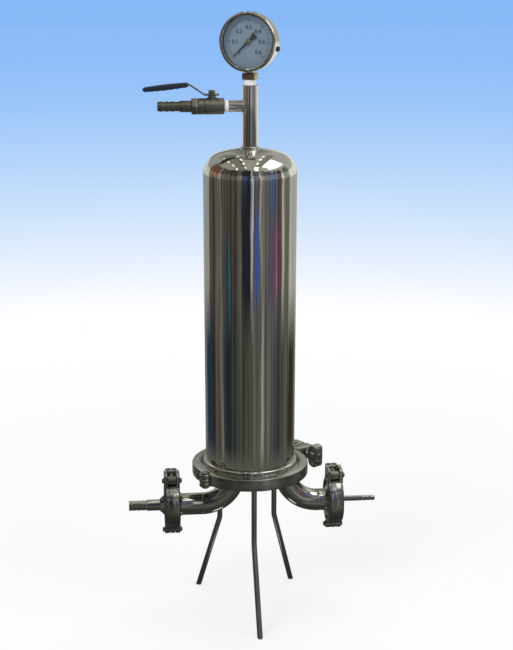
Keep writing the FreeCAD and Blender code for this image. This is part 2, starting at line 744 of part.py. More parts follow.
def inlet_hose_tail():
    body = new_body("inlet_hose_tail")
    crest = "inlet_tail_od / 2"
    valley = "(inlet_tail_od / 2 - groove_depth)"
    corners = [
        ("inlet_tail_bore / 2", "0"),
        ("port_flange_r", "0"),
        ("port_flange_r", "port_rim"),
        ("port_neck_r", "port_neck_drop"),
        ("port_neck_r", "inlet_disc"),
        (crest, "inlet_disc"),
    ]
    first = "inlet_tail_length - 3 * inlet_groove_pitch"
    for step in range(3):
        start = f"{first} + {step} * inlet_groove_pitch"
        corners.append((crest, f"{start} - 0.5 * inlet_groove_pitch"))
        corners.append((valley, f"{start} - 0.35 * inlet_groove_pitch"))
        corners.append((valley, f"{start} - 0.15 * inlet_groove_pitch"))
        corners.append((crest, start))
    corners.append((crest, "inlet_tail_length"))
    corners.append(("inlet_tail_bore / 2", "inlet_tail_length"))
    turn(body, corners)
    keep(body, ("inlet_joint + port_gasket / 2", "0", "port_axis"), INLET_TURN)


# Clamps. Z is the clamp's axis, the hinge is at -X and the closing side at +X.
# The pivot half lies at +Y and carries the swing bolt; the seat half at -Y.
class Clamp:
    """Names of the sizes that belong to one clamp, and its frame."""

    def __init__(self, name, key, flange, rim, gasket, halves, at, rotation):
        self.name = name
        self.at = at
        self.rotation = rotation
        self.halves = halves
        self.ridged = key == "port_clamp"
        self.outer = f"({flange} + rim_gap + {key}_wall)"
        self.half_width = f"({key}_width / 2)"
        self.chamfer = f"{key}_chamfer"
        self.lip = f"({flange} - {key}_cover)"
        self.groove = f"({flange} + rim_gap)"
        self.groove_half = f"({gasket} / 2 + {rim} + taper_gap)"
        self.hinge = f"({self.outer} + {key}_hinge_offset)"
        self.knuckle = f"{key}_knuckle"
        self.third = f"({key}_width / 6)"
        self.bolt_x = f"({self.outer} + {key}_bolt_offset)"
        self.ear_end = f"({self.outer} + {key}_ear_offset)"
        self.ear = f"{key}_ear"
        self.pivot = f"{key}_pivot"
        self.seat = f"{key}_seat"
        self.bolt_r = f"({key}_bolt / 2)"
        self.eye = f"(0.8 * {key}_bolt)"
        self.slot = f"{key}_slot"
        self.pin_r = f"({key}_knuckle * pin_share)"
        self.nut_length = f"{key}_nut_length"
        self.nut_span = f"{key}_nut_span"
        self.nut_start = f"({self.seat} + 2 * seat_gap + washer_thick + seat_gap)"

    def keep(self, piece):
        keep(piece, self.at, self.rotation)


def clamp_ring(clamp, body, side):
    """Half a ring with a tapered groove for the two flanges."""
    lip_half = f"({clamp.groove_half} + ({clamp.groove} - {clamp.lip}) * tan(flange_taper))"
    section = [
        (clamp.lip, lip_half),
        (clamp.groove, clamp.groove_half),
        (clamp.groove, f"0 - {clamp.groove_half}"),
        (clamp.lip, f"0 - {lip_half}"),
        (clamp.lip, f"0 - {clamp.half_width}"),
        (f"{clamp.outer} - {clamp.chamfer}", f"0 - {clamp.half_width}"),
        (clamp.outer, f"{clamp.chamfer} - {clamp.half_width}"),
        (clamp.outer, f"{clamp.half_width} - {clamp.chamfer}"),
        (f"{clamp.outer} - {clamp.chamfer}", clamp.half_width),
        (clamp.lip, clamp.half_width),
    ]
    section = [(f"{side} * ({radius})", height) for radius, height in section]
    turn(body, section, f"180 - 360 * split_gap / (pi * {clamp.lip})", True, "YZ_Plane")


def pivot_ear(clamp, body):
    """Forked ear that holds the swing bolt's eye on its pin."""
    inside = f"({clamp.groove} + {clamp.outer}) / 2"
    root = f"sqrt({clamp.outer} ^ 2 - {clamp.ear} ^ 2) - split_gap"
    pad(body, "XY_Plane", [[
        (inside, "split_gap"),
        (clamp.ear_end, "split_gap"),
        (clamp.ear_end, f"{clamp.ear} - ear_round"),
        (f"{clamp.ear_end} - ear_round", clamp.ear, "ear_round"),
        (root, clamp.ear),
    ]], f"2 * {clamp.half_width}", symmetric=True)
    fork_root = f"{clamp.bolt_x} - {clamp.eye} - loose_gap"
    fork = rectangle(fork_root, f"{clamp.ear_end} + split_gap",
                     f"0 - {clamp.slot} / 2", f"{clamp.slot} / 2")
    pocket(body, "XZ_Plane", [fork])
    pin = ["circle", clamp.bolt_x, clamp.pivot, f"{clamp.pin_r} + running_gap"]
    pocket(body, "XY_Plane", [pin])


def seat_ear(clamp, body):
    """Slotted ear whose seat is rounded about the swing bolt's pin."""
    reach = f"({clamp.pivot} + {clamp.seat})"
    inside = f"({clamp.groove} + {clamp.outer}) / 2"
    root = f"sqrt({clamp.outer} ^ 2 - {clamp.seat} ^ 2)"
    end_y = f"{clamp.pivot} - sqrt({reach} ^ 2 - ({clamp.ear_end} - {clamp.bolt_x}) ^ 2)"
    root_y = f"{clamp.pivot} - sqrt({reach} ^ 2 - ({root} - {clamp.bolt_x}) ^ 2)"
    pad(body, "XY_Plane", [[
        (inside, "0 - split_gap"),
        (clamp.ear_end, "0 - split_gap"),
        (clamp.ear_end, end_y),
        (root, root_y, f"-{reach}"),
    ]], f"2 * {clamp.half_width}", symmetric=True)
    slot_root = f"{clamp.bolt_x} - {clamp.bolt_r} - split_gap"
    slot = rectangle(slot_root, f"{clamp.ear_end} + split_gap",
                     f"0 - {clamp.slot} / 2", f"{clamp.slot} / 2")
    pocket(body, "XZ_Plane", [slot])


def hinge_circle(clamp, extra="0"):
    return ["circle", f"0 - {clamp.hinge}", "0", f"{clamp.knuckle} + {extra}"]


def hinge_tongue(clamp, body):
    """Middle knuckle of the hinge, with room above and below for the lugs."""
    depth = f"{clamp.half_width} - {clamp.third} + loose_gap"
    room = [hinge_circle(clamp, "loose_gap")]
    pocket(body, "XY_Plane", room, depth, clamp.half_width)
    pocket(body, "XY_Plane", room, depth, f"loose_gap - {clamp.third}")
    pad(body, "XY_Plane", [hinge_circle(clamp)], f"2 * ({clamp.third} - loose_gap)",
        symmetric=True)


def hinge_lugs(clamp, body):
    """Outer knuckles of the hinge, with room between them for the tongue."""
    height = f"{clamp.half_width} - {clamp.third}"
    room = [hinge_circle(clamp, "loose_gap")]
    pocket(body, "XY_Plane", room, f"2 * {clamp.third}", clamp.third)
    pad(body, "XY_Plane", [hinge_circle(clamp)], height, clamp.third)
    pad(body, "XY_Plane", [hinge_circle(clamp)], height, f"0 - {clamp.half_width}")


def back_ridge(clamp):
    """Ridge that runs down a port clamp's back from its pivot ear to a point."""
    name = clamp.name + "_ridge"
    width = f"2 * {clamp.half_width}"
    low = ("0", "0", f"0 - {clamp.half_width}")
    crest = f"({clamp.outer} + port_rib_height)"
    outer = round_bar(name + "_crest", crest, width, low)
    inner = round_bar(name + "_root", f"({clamp.groove} + rim_gap)", width, low)
    edge = f"({clamp.half_width} - {clamp.chamfer} / 2)"
    wedge = new_body(name + "_wedge")
    pad(wedge, "XZ_Plane", [[
        ("0 - port_rib_fall", "0 - port_rib_tip / 2"),
        ("0 - port_rib_fall", "port_rib_tip / 2"),
        (f"{clamp.outer} - {clamp.chamfer}", edge),
        (f"{clamp.outer} - {clamp.chamfer}", f"0 - {edge}"),
    ]], f"{crest} + split_gap", f"0 - {crest} - 2 * split_gap")
    ridge = doc.addObject("Part::Common", name)
    ridge.Base = cut(name + "_ring", outer, inner)
    ridge.Tool = wedge
    return ridge


def clamp_half(clamp, side):
    label = f"{clamp.name}_{clamp.halves[side > 0]}_half"
    ridged = side > 0 and clamp.ridged
    body = new_body(label + "_blank" if ridged else label)
    clamp_ring(clamp, body, side)
    if side > 0:
        pivot_ear(clamp, body)
        hinge_tongue(clamp, body)
    else:
        seat_ear(clamp, body)
        hinge_lugs(clamp, body)
    hole = ["circle", f"0 - {clamp.hinge}", "0", f"{clamp.pin_r} + running_gap"]
    pocket(body, "XY_Plane", [hole])
    clamp.keep(fuse(label, [body, back_ridge(clamp)]) if ridged else body)


def headed_pin(clamp, name, x, y):
    """A plain pin with a round head at each end."""
    reach = f"({clamp.half_width} + loose_gap)"
    shaft = round_bar(name, clamp.pin_r, f"2 * {reach}", (x, y, f"0 - {reach}"))
    low = round_bar(name + "_low", f"1.6 * {clamp.pin_r}", "pin_head",
                    (x, y, f"0 - {reach} - pin_head"))
    high = round_bar(name + "_high", f"1.6 * {clamp.pin_r}", "pin_head", (x, y, reach))
    return fuse(name + "_whole", [shaft, low, high])


def clamp_pins(clamp):
    hinge = headed_pin(clamp, clamp.name + "_hinge_pin", f"0 - {clamp.hinge}", "0")
    pivot = headed_pin(clamp, clamp.name + "_pivot_pin", clamp.bolt_x, clamp.pivot)
    group = doc.addObject("Part::Compound", clamp.name + "_pins")
    group.Links = [hinge, pivot]
    clamp.keep(group)


def swing_bolt(clamp):
    """Eye bolt that swings on the pivot pin and carries the wing nut."""
    name = clamp.name + "_swing_bolt"
    eye_width = f"({clamp.slot} - 2 * loose_gap)"
    length = f"{clamp.pivot} + {clamp.nut_start} + {clamp.nut_length} + split_gap"
    eye = round_bar(name + "_eye", clamp.eye, eye_width,
                    (clamp.bolt_x, clamp.pivot, f"0 - {eye_width} / 2"))
    shank = round_bar(name + "_shank", clamp.bolt_r, length,
                      (clamp.bolt_x, clamp.pivot, "0"), ACROSS)
    hole = round_bar(name + "_hole", f"{clamp.pin_r} + running_gap", eye_width,
                     (clamp.bolt_x, clamp.pivot, f"0 - {eye_width} / 2"))
    clamp.keep(cut(name, fuse(name + "_body", [eye, shank]), hole))


def nut_washer(clamp):
    name = clamp.name + "_washer"
    at = (clamp.bolt_x, f"0 - {clamp.seat} - 2 * seat_gap", "0")
    disc = round_bar(name + "_disc", f"1.7 * {clamp.bolt_r}", "washer_thick", at, ACROSS)
    hole = round_bar(name + "_hole", f"{clamp.bolt_r} + running_gap", "washer_thick", at, ACROSS)
    clamp.keep(cut(name, disc, hole))


def wing_nut(clamp):
    """Nut with two flat wings, each with a round recess in both faces."""
    body = new_body(clamp.name + "_wing_nut")
    start = clamp.nut_start
    length = clamp.nut_length
    half = f"({clamp.nut_span} / 2)"
    thick = f"(2.5 * {clamp.bolt_r})"
    hub = ["circle", clamp.bolt_x, "0", f"1.65 * {clamp.bolt_r}"]
    pad(body, "XZ_Plane", [hub], length, start)
    outline = []
    for along, across in ((0.26, 0.42), (0.40, 0.86), (0.58, 1.0), (0.86, 0.92), (1.0, 0.58)):
        outline.append((f"0 - ({start} + {along} * {length})", f"{across} * {half}"))
    for along, across in ((1.0, 0.58), (0.86, 0.92), (0.58, 1.0), (0.40, 0.86), (0.26, 0.42)):
        outline.append((f"0 - ({start} + {along} * {length})", f"0 - {across} * {half}"))
    pad(body, "YZ_Plane", [outline], thick, clamp.bolt_x, symmetric=True)
    recess = []
    for side in ("", "0 - "):
        recess.append(["circle", f"0 - ({start} + 0.63 * {length})",
                       f"{side}0.62 * {half}", f"0.27 * {half}"])
    depth = f"(0.28 * {thick})"
    pocket(body, "YZ_Plane", recess, depth, f"{clamp.bolt_x} + {thick} / 2")
    pocket(body, "YZ_Plane", recess, depth, f"{clamp.bolt_x} - {thick} / 2 + {depth}")
    bore = ["circle", clamp.bolt_x, "0", f"{clamp.bolt_r} + running_gap"]
    pocket(body, "XZ_Plane", [bore])
    clamp.keep(body)


def clamps():
    body_turn = Rotation(Vector(0, 0, 1), value("clamp_azimuth"))
    port_sizes = ("port_clamp", "port_flange_r", "port_rim", "port_gasket")
    port_halves = ("rear", "front")
    found = [
        Clamp("body_clamp", "clamp", "flange_r", "flange_rim", "gasket_thick",
              ("front", "rear"), ("0", "0", "joint_height"), body_turn),
        Clamp("outlet_clamp", *port_sizes, port_halves,
              ("0 - outlet_joint", "0", "port_axis"), INLET_TURN),
        Clamp("inlet_clamp", *port_sizes, port_halves,
              ("inlet_joint", "0", "port_axis"), INLET_TURN),
    ]
    for clamp in found:
        clamp_half(clamp, 1)
        clamp_half(clamp, -1)
        clamp_pins(clamp)
        swing_bolt(clamp)
        nut_washer(clamp)
        wing_nut(clamp)


# Vent valve. Z of its frame points away from the stem and X points up.
VALVE_AT = ("0 - valve_start", "0", "branch_axis")


def valve_keep(piece):
    keep(piece, VALVE_AT, OUTLET_TURN)


def valve_body():
    body = new_body("valve_body")
    turn(body, [
        ("0", "0"),
        ("valve_r - base_chamfer", "0"),
        ("valve_r", "base_chamfer"),
        ("valve_r", "valve_body_length"),
        ("0", "valve_body_length"),
    ])
    boss = ["circle", "0", "valve_pivot", "bonnet_od / 2"]
    pad(body, "YZ_Plane", [boss], "bonnet_height")
    pocket(body, "XY_Plane", [["circle", "0", "0", "chamber_r"]],
           "valve_body_length - valve_pivot + seat_stack + seat_gap", "valve_body_length")
    pocket(body, "XY_Plane", [["circle", "0", "0", "branch_bore / 2"]])
    pocket(body, "XY_Plane", [["circle", "0", "0", "thread_r + seat_gap"]],
           "valve_socket", "valve_socket")
    stem = ["circle", "0", "valve_pivot", "spindle_od / 2 + running_gap"]
    pocket(body, "YZ_Plane", [stem], "bonnet_height", "bonnet_height")
    valve_keep(body)


def valve_end_cap():
    body = new_body("valve_end_cap")
    turn(body, [
        ("0", "valve_pivot + seat_stack + seat_gap"),
        ("chamber_r - seat_gap", "valve_pivot + seat_stack + seat_gap"),
        ("chamber_r - seat_gap", "valve_body_length"),
        ("valve_r", "valve_body_length"),
        ("valve_r", "valve_end - valve_collar - base_chamfer"),
        ("valve_r - base_chamfer", "valve_end - valve_collar"),
        ("valve_r - base_chamfer", "valve_end"),
        ("0", "valve_end"),
    ])
    pad(body, "XY_Plane", [hexagon("(valve_od - base_chamfer)")], "valve_collar",
        "valve_end - valve_collar")
    pocket(body, "XY_Plane", [["circle", "0", "0", "branch_bore / 2"]])
    pocket(body, "XY_Plane", [["circle", "0", "0", "thread_r"]], "valve_collar", "valve_end")
    valve_keep(body)


def ball_seats():
    seats = []
    for name, side in (("near", "-"), ("far", "+")):
        body = new_body(name + "_seat")
        low = f"valve_pivot {side} (seat_stack - seat_depth)"
        high = f"valve_pivot {side} seat_stack"
        turn(body, rectangle("seat_id / 2", "seat_od / 2", low, high))
        seats.append(body)
    group = doc.addObject("Part::Compound", "ball_seats")
    group.Links = seats
    valve_keep(group)


def valve_ball():
    """Ball with its passage and the slot that the spindle's tang turns."""
    ball = solid("Sphere", "ball_blank", {"Radius": "ball_od / 2"}, ("0", "0", "valve_pivot"))
    passage = round_bar("ball_passage", "ball_bore / 2", "ball_od",
                        ("0", "0", "valve_pivot - ball_od / 2"))
    slot = solid("Box", "ball_slot",
                 {"Length": "ball_od", "Width": "tang_thick + 2 * seat_gap", "Height": "ball_od"},
                 ("ball_od / 2 - tang_depth", "0 - tang_thick / 2 - seat_gap",
                  "valve_pivot - ball_od / 2"))
    valve_keep(cut("valve_ball", cut("drilled_ball", ball, passage), slot))


def valve_spindle():
    upright = Rotation(Vector(0, 1, 0), 90)
    shaft = round_bar("spindle_shaft", "spindle_od / 2", "spindle_top - ball_od / 2 - seat_gap",
                      ("ball_od / 2 + seat_gap", "0", "valve_pivot"), upright)
    tang = solid("Box", "spindle_tang",
                 {"Length": "tang_depth", "Width": "tang_thick", "Height": "spindle_od * 0.9"},
                 ("ball_od / 2 - tang_depth + 2 * seat_gap", "0 - tang_thick / 2",
                  "valve_pivot - spindle_od * 0.45"))
    valve_keep(fuse("valve_spindle", [shaft, tang]))


def hex_nut(label, flats, level, height):
    """A hexagon nut round the valve's spindle."""
    body = new_body(label)
    pad(body, "YZ_Plane", [hexagon(flats, "0", "valve_pivot")], height, level)
    hole = ["circle", "0", "valve_pivot", "spindle_od / 2 + running_gap"]
    pocket(body, "YZ_Plane", [hole])
    valve_keep(body)


def lever_line(offset, start, end):
    """The lever's lower or upper line, from its stop tab to the grip's end."""
    lean = f"(0.3 * {offset})"
    return [
        (f"lever_level + {offset}", start),
        (f"lever_level + {offset}", f"valve_pivot + lever_flat - {lean}"),
        (f"lever_level + lever_rise + {offset}", f"grip_start - {lean}"),
        (f"lever_level + lever_rise - grip_fall + {offset}", end),
    ]


def valve_lever():
    body = new_body("valve_lever")
    start = "valve_pivot - lever_tab"
    end = "grip_start + grip_length - grip_thick"
    lower = lever_line("0", start, end)
    upper = lever_line("lever_thick", start, end)
    pad(body, "XZ_Plane", [lower + upper[::-1]], "lever_width", symmetric=True)
    hole = ["circle", "0", "valve_pivot", "spindle_od / 2 + running_gap"]
    pocket(body, "YZ_Plane", [hole])
    valve_keep(body)


def lever_grip():
    """Dipped vinyl sleeve over the lever's outer run."""
    body = new_body("lever_grip")
    cover = "(grip_thick - lever_thick) / 2"
    low = f"lever_level + lever_rise - {cover}"
    high = f"lever_level + lever_rise + lever_thick + {cover}"
    near = "grip_start + base_chamfer"
    far = "grip_start + grip_length"
    pad(body, "XZ_Plane", [[
        (low, near),
        (f"{low} - grip_fall", f"{far} - grip_round"),
        (f"{low} - grip_fall + grip_round", far, "0 - grip_round"),
        (f"{high} - grip_fall - grip_round", far),
        (f"{high} - grip_fall", f"{far} - grip_round", "0 - grip_round"),
        (high, near),
    ]], "grip_width", symmetric=True)
    lower = lever_line("0 - running_gap", "0", "grip_start + grip_length - grip_thick")
    upper = lever_line("lever_thick + running_gap", "0", "grip_start + grip_length - grip_thick")
    sleeve = [lower[2], lower[3], upper[3], upper[2]]
    pocket(body, "XZ_Plane", [sleeve], "lever_width + 2 * running_gap", symmetric=True)
    valve_keep(body)


def vent_hose_tail():
    body = new_body("vent_hose_tail")
    tip = "(valve_end + vent_tail_length)"
    corners = [
        ("vent_tail_bore / 2", "valve_end - valve_collar + loose_gap"),
        ("thread_r - seat_gap", "valve_end - valve_collar + loose_gap"),
        ("thread_r - seat_gap", "valve_end"),
        ("vent_tail_root / 2", "valve_end"),
        ("vent_tail_root / 2", f"{tip} - 4 * vent_tail_pitch"),
        ("vent_tail_waist / 2", f"{tip} - 3.6 * vent_tail_pitch"),
    ]
    for step in range(3):
        start = f"({tip} - {3 - step} * vent_tail_pitch)"
        corners.append(("vent_tail_waist / 2", f"{start} + 0.1 * vent_tail_pitch"))
        corners.append(("vent_tail_ring / 2", f"{start} + 0.4 * vent_tail_pitch"))
        corners.append(("vent_tail_waist / 2", f"{start} + 0.9 * vent_tail_pitch"))
    corners.append(("vent_tail_waist / 2", tip))
    corners.append(("vent_tail_bore / 2", tip))
    turn(body, corners)
    valve_keep(body)


def thread_tapes():
    """White tape wound on the gauge's and the branch's threads."""
    gauge_tape = new_body("gauge_tape")
    turn(gauge_tape, rectangle("thread_r + seat_gap", "tape_od / 2", "0", "tape_width"))
    settle(gauge_tape, ("0", "0", "stem_top"))
    branch_tape = new_body("branch_tape")
    turn(branch_tape, rectangle("thread_r + seat_gap", "tape_od / 2",
                                "branch_reach - valve_start", "0"))
    settle(branch_tape, VALVE_AT, OUTLET_TURN)
    group = doc.addObject("Part::Compound", "thread_tapes")
    group.Links = [gauge_tape, branch_tape]
    keep(group)


def valve():
    valve_body()
    valve_end_cap()
    ball_seats()
    valve_ball()
    valve_spindle()
    hex_nut("gland_nut", "gland_flats", "bonnet_height", "gland_height")
    valve_lever()
    lever_grip()
    hex_nut("lever_nut", "nut_flats", "lever_level + lever_thick", "nut_height")
    vent_hose_tail()


# Pressure gauge. Z of its frame points out of the dial and Y points up.
GAUGE_AT = ("0", "0", "gauge_center")
GAUGE_TURN = Rotation(Vector(0, 0, 1), value("gauge_turn")).multiply(ACROSS)


def gauge_keep(piece, spin=0):
    """Keeps a piece in the gauge's frame, spun about the dial's axis."""
    keep(piece, GAUGE_AT, GAUGE_TURN.multiply(Rotation(Vector(0, 0, 1), spin)))


def gauge_case():
    body = new_body("gauge_case")
    turn(body, [
        ("0", "0 - case_back"),
        ("case_r - case_wall", "0 - case_back"),
        ("case_r", "case_wall - case_back"),
        ("case_r", "case_front"),
        ("case_r - case_wall", "case_front"),
        ("case_r - case_wall", "case_wall - case_back"),
        ("0", "case_wall - case_back"),
    ])
    hole = ["circle", "0", "0", "neck_pipe_r + loose_gap"]
    pocket(body, "XZ_Plane", [hole], "case_r / 2", "case_r + case_wall")
    gauge_keep(body)


def gauge_bezel():
    body = new_body("gauge_bezel")
    turn(body, [
        ("case_r + seat_gap", "bezel_skirt"),
        ("bezel_r", "bezel_skirt"),
        ("bezel_r", "bezel_front - bezel_round"),
        ("bezel_r - bezel_round", "bezel_front", "bezel_round"),
        ("bezel_lip / 2", "bezel_front"),
        ("bezel_lip / 2", "bezel_front - window_depth + loose_gap"),
        ("case_r + seat_gap", "bezel_front - window_depth + loose_gap"),
    ])
    gauge_keep(body)


def disc(label, radius, low, thickness, hole=None):
    body = new_body(label)
    loops = [["circle", "0", "0", radius]]
    if hole:
        loops.append(["circle", "0", "0", hole])
    pad(body, "XY_Plane", loops, thickness, low)
    gauge_keep(body)


def gauge_socket():
    """Brass stem: tapered thread, square block and the block inside the case."""
    body = new_body("gauge_socket")
    block_top = "gauge_height - tape_width - block_height"
    pad(body, "XZ_Plane", [["circle", "0", "0", "thread_r"]],
        "tape_width + thread_length", "gauge_height - tape_width")
    half = "block_width / 2"
    square = rectangle(f"0 - {half}", half, f"0 - {half}", half)
    pad(body, "XZ_Plane", [square], "block_height", block_top)
    pad(body, "XZ_Plane", [["circle", "0", "0", "neck_pipe_r"]],
        f"{block_top} - block_level - block_rise * 0.7", "block_level + block_rise * 0.7")
    inner = rectangle("0 - neck_pipe_r", "neck_pipe_r", "frame_level - block_inside",
                      "frame_level - loose_gap")
    pad(body, "XZ_Plane", [inner], "block_rise", "block_level")
    bore = ["circle", "0", "0", "arbor_od"]
    pocket(body, "XZ_Plane", [bore], "gauge_height + thread_length - block_level - block_rise",
           "gauge_height + thread_length")
    gauge_keep(body)


def pressure_tube():
    """Curved flat tube that bends open as the pressure rises."""
    body = new_body("pressure_tube")
    turn(body, rectangle("bourdon_radius - bourdon_thick / 2",
                         "bourdon_radius + bourdon_thick / 2",
                         "frame_level - bourdon_thick - bourdon_depth",
                         "frame_level - bourdon_thick"), "bourdon_sweep")
    gauge_keep(body, value("bourdon_start"))


def movement_frame():
    """Two plates on pillars that carry the arbor and the sector."""
    body = new_body("movement_frame")
    gap = "(dial_level - loose_gap - plate_thick)"
    stalk_foot = "0 - block_level - plate_reach"
    pad(body, "XY_Plane", [[
        ("0 - plate_reach", stalk_foot),
        ("plate_reach", stalk_foot),
        ("plate_reach", "0 - plate_reach"),
        ("gear_center + plate_reach", "0 - plate_reach"),
        ("gear_center + plate_reach", "plate_reach"),
        ("0 - plate_reach", "plate_reach"),
    ]], "plate_thick", "frame_level")
    front = rectangle("0 - plate_reach", "gear_center + plate_reach", "0 - plate_reach", "plate_reach")
    pad(body, "XY_Plane", [front], "plate_thick", gap)
    for x in ("0 - plate_reach * 0.7", "gear_center + plate_reach * 0.4"):
        pillar = ["circle", x, "plate_reach * 0.72", "arbor_od * 0.6"]
        pad(body, "XY_Plane", [pillar], f"{gap} - frame_level", "frame_level")
    holes = [["circle", "0", "0", "arbor_od / 2 + running_gap"],
             ["circle", "gear_center", "0", "arbor_od / 2 + running_gap"]]
    pocket(body, "XY_Plane", holes)
    gauge_keep(body)


def gear_tooth(reach, root, center="0"):
    """One straight-sided tooth along X from a gear's center."""
    return [
        (f"{center} + {reach} * ({root} - gear_module * 0.3)", "0 - gear_module * 0.95"),
        (f"{center} + {reach} * ({root} + gear_module * 2.1)", "0 - gear_module * 0.3"),
        (f"{center} + {reach} * ({root} + gear_module * 2.1)", "gear_module * 0.3"),
        (f"{center} + {reach} * ({root} - gear_module * 0.3)", "gear_module * 0.95"),
    ]


def pointer_arbor():
    """Brass arbor with the pinion below the dial and the hub above it."""
    body = new_body("pointer_arbor")
    root = "(gear_module * (pinion_teeth / 2 - 1.25))"
    turn(body, [
        ("0", "frame_level - plate_thick"),
        ("arbor_od / 2", "frame_level - plate_thick"),
        ("arbor_od / 2", "gear_low"),
        (root, "gear_low"),
        (root, "gear_low + gear_width"),
        ("arbor_od / 2", "gear_low + gear_width"),
        ("arbor_od / 2", "pointer_level + pointer_thick"),
        ("hub_r", "pointer_level + pointer_thick"),
        ("hub_r * 0.8", "pointer_level + 2 * pointer_thick"),
        ("0", "pointer_level + 2.4 * pointer_thick"),
    ])
    tooth = pad(body, "XY_Plane", [gear_tooth("1", root)], "gear_width", "gear_low")
    repeat(body, tooth, "pinion_teeth")
    gauge_keep(body)


def sector_gear():
    """Toothed sector in mesh with the pinion, on its own arbor."""
    body = new_body("sector_gear")
    root = "(gear_module * (sector_teeth / 2 - 1.25))"
    pad(body, "XY_Plane", [[
        ("0", "0 - arbor_od"),
        (f"0 - {root} * cos(sector_lead)", f"0 - {root} * sin(sector_lead)"),
        (f"0 - {root} * cos(sector_reach)", f"{root} * sin(sector_reach)", f"0 - {root}"),
        ("0", "arbor_od"),
        ("arbor_od", "0", "0 - arbor_od * 1.02"),
    ]], "gear_width", "gear_low")
    for step in range(-7, 2):
        tooth = [rotated(x, y, step + 0.5) for x, y in gear_tooth("-1", root)]
        pad(body, "XY_Plane", [tooth], "gear_width", "gear_low")
    axle = ["circle", "0", "0", "arbor_od / 2"]
    pad(body, "XY_Plane", [axle], "dial_level - frame_level", "frame_level - loose_gap")
    keep(body, (f"gear_center * cos(gauge_turn)", f"gear_center * sin(gauge_turn)",
                "gauge_center"), GAUGE_TURN)


def rotated(x, y, pitches):
    """Turns a corner about the origin by a number of sector pitches."""
    angle = f"({pitches} * 360 / sector_teeth)"
    return (f"({x}) * cos({angle}) - ({y}) * sin({angle})",
            f"({x}) * sin({angle}) + ({y}) * cos({angle})")


def gauge_pointer():
    body = new_body("gauge_pointer")
    pad(body, "XY_Plane", [[
        ("pointer_reach", "0 - arbor_od / 8"),
        ("pointer_reach", "arbor_od / 8"),
        ("hub_r", "arbor_od / 2"),
        ("0 - hub_r * 1.4", "arbor_od / 2"),
        ("0 - pointer_tail", "hub_r * 1.3"),
        ("0 - pointer_tail", "0 - hub_r * 1.3"),
        ("0 - hub_r * 1.4", "0 - arbor_od / 2"),
        ("hub_r", "0 - arbor_od / 2"),
    ]], "pointer_thick", "pointer_level")
    eye = [["circle", "0", "0", "hub_r"]]
    pad(body, "XY_Plane", eye, "pointer_thick", "pointer_level")
    pocket(body, "XY_Plane", [["circle", "0", "0", "arbor_od / 2 + seat_gap"]])
    gauge_keep(body, value("pointer_angle"))


def vent_plug():
    """Rubber plug in the side of the gauge case."""
    angle = value("plug_angle")
    outwards = Rotation(Vector(0, 0, 1), angle).multiply(Rotation(Vector(0, 1, 0), 90))
    at = ("(case_r + loose_gap) * cos(plug_angle)", "(case_r + loose_gap) * sin(plug_angle)",
          "0 - plug_r - bezel_skirt")
    stem = round_bar("plug_stem", "plug_r", "plug_height * 0.6", at, outwards)
    top = solid("Cone", "plug_top",
                {"Radius1": "plug_r", "Radius2": "plug_r * 0.6", "Height": "plug_height"},
                at, outwards)
    gauge_keep(fuse("gauge_vent_plug", [stem, top]))


def gauge():
    gauge_socket()
    gauge_case()
    gauge_bezel()
    disc("gauge_window", "case_r - loose_gap", "bezel_front - window_depth - window_thick",
         "window_thick")
    disc("gauge_dial", "case_r - case_wall - rim_gap", "dial_level", "dial_thick",
         "arbor_od / 2 + loose_gap")
    gauge_pointer()
    pointer_arbor()
    sector_gear()
    movement_frame()
    pressure_tube()
    vent_plug()


# Cartridge, standing on the housing's axis
def cartridge_adapter():
    """Bottom end cap with the plug and its two ring grooves."""
    body = new_body("cartridge_adapter")
    corners = [
        ("core_bore_r", "plug_bottom"),
        ("plug_r_out - cup_lead", "plug_bottom"),
        ("plug_r_out", "plug_bottom + cup_lead"),
    ]
    for low in ("ring_low", "ring_high"):
        corners.append(("plug_r_out", f"{low} - groove_half"))
        corners.append(("groove_r", f"{low} - groove_half"))
        corners.append(("groove_r", f"{low} + groove_half"))
        corners.append(("plug_r_out", f"{low} + groove_half"))
    corners.append(("plug_r_out", "adapter_face"))
    corners.append(("cartridge_od / 2", "adapter_face"))
    corners.append(("cartridge_od / 2", "cage_low"))
    corners.append(("core_bore_r", "cage_low"))
    turn(body, corners)
    keep(body)


def sealing_rings():
    rings = []
    for name, level in (("lower_ring", "ring_low"), ("upper_ring", "ring_high")):
        sizes = {"Radius1": "cup_ir - running_gap - ring_wire / 2", "Radius2": "ring_wire / 2"}
        rings.append(solid("Torus", name, sizes, ("0", "0", level)))
    group = doc.addObject("Part::Compound", "adapter_seal_rings")
    group.Links = rings
    keep(group)


def windowed_tube(label, outer, wall, count, rows):
    """A tube with rows of windows, standing between the end caps."""
    body = new_body(label)
    turn(body, rectangle(f"{outer} - {wall}", outer, "cage_low", "cage_high"))
    rise = "(cage_high - cage_low)"
    reach = f"({outer} * 0.36)"
    windows = []
    for row in range(int(value(rows))):
        low = f"cage_low + {rise} * ({row} + 0.2) / {rows}"
        high = f"cage_low + {rise} * ({row} + 0.8) / {rows}"
        windows.append(rectangle(f"0 - {reach}", reach, low, high))
    opening = pocket(body, "XZ_Plane", windows, f"{outer} * 0.3", f"{outer} + {wall}")
    repeat(body, opening, count)
    keep(body)


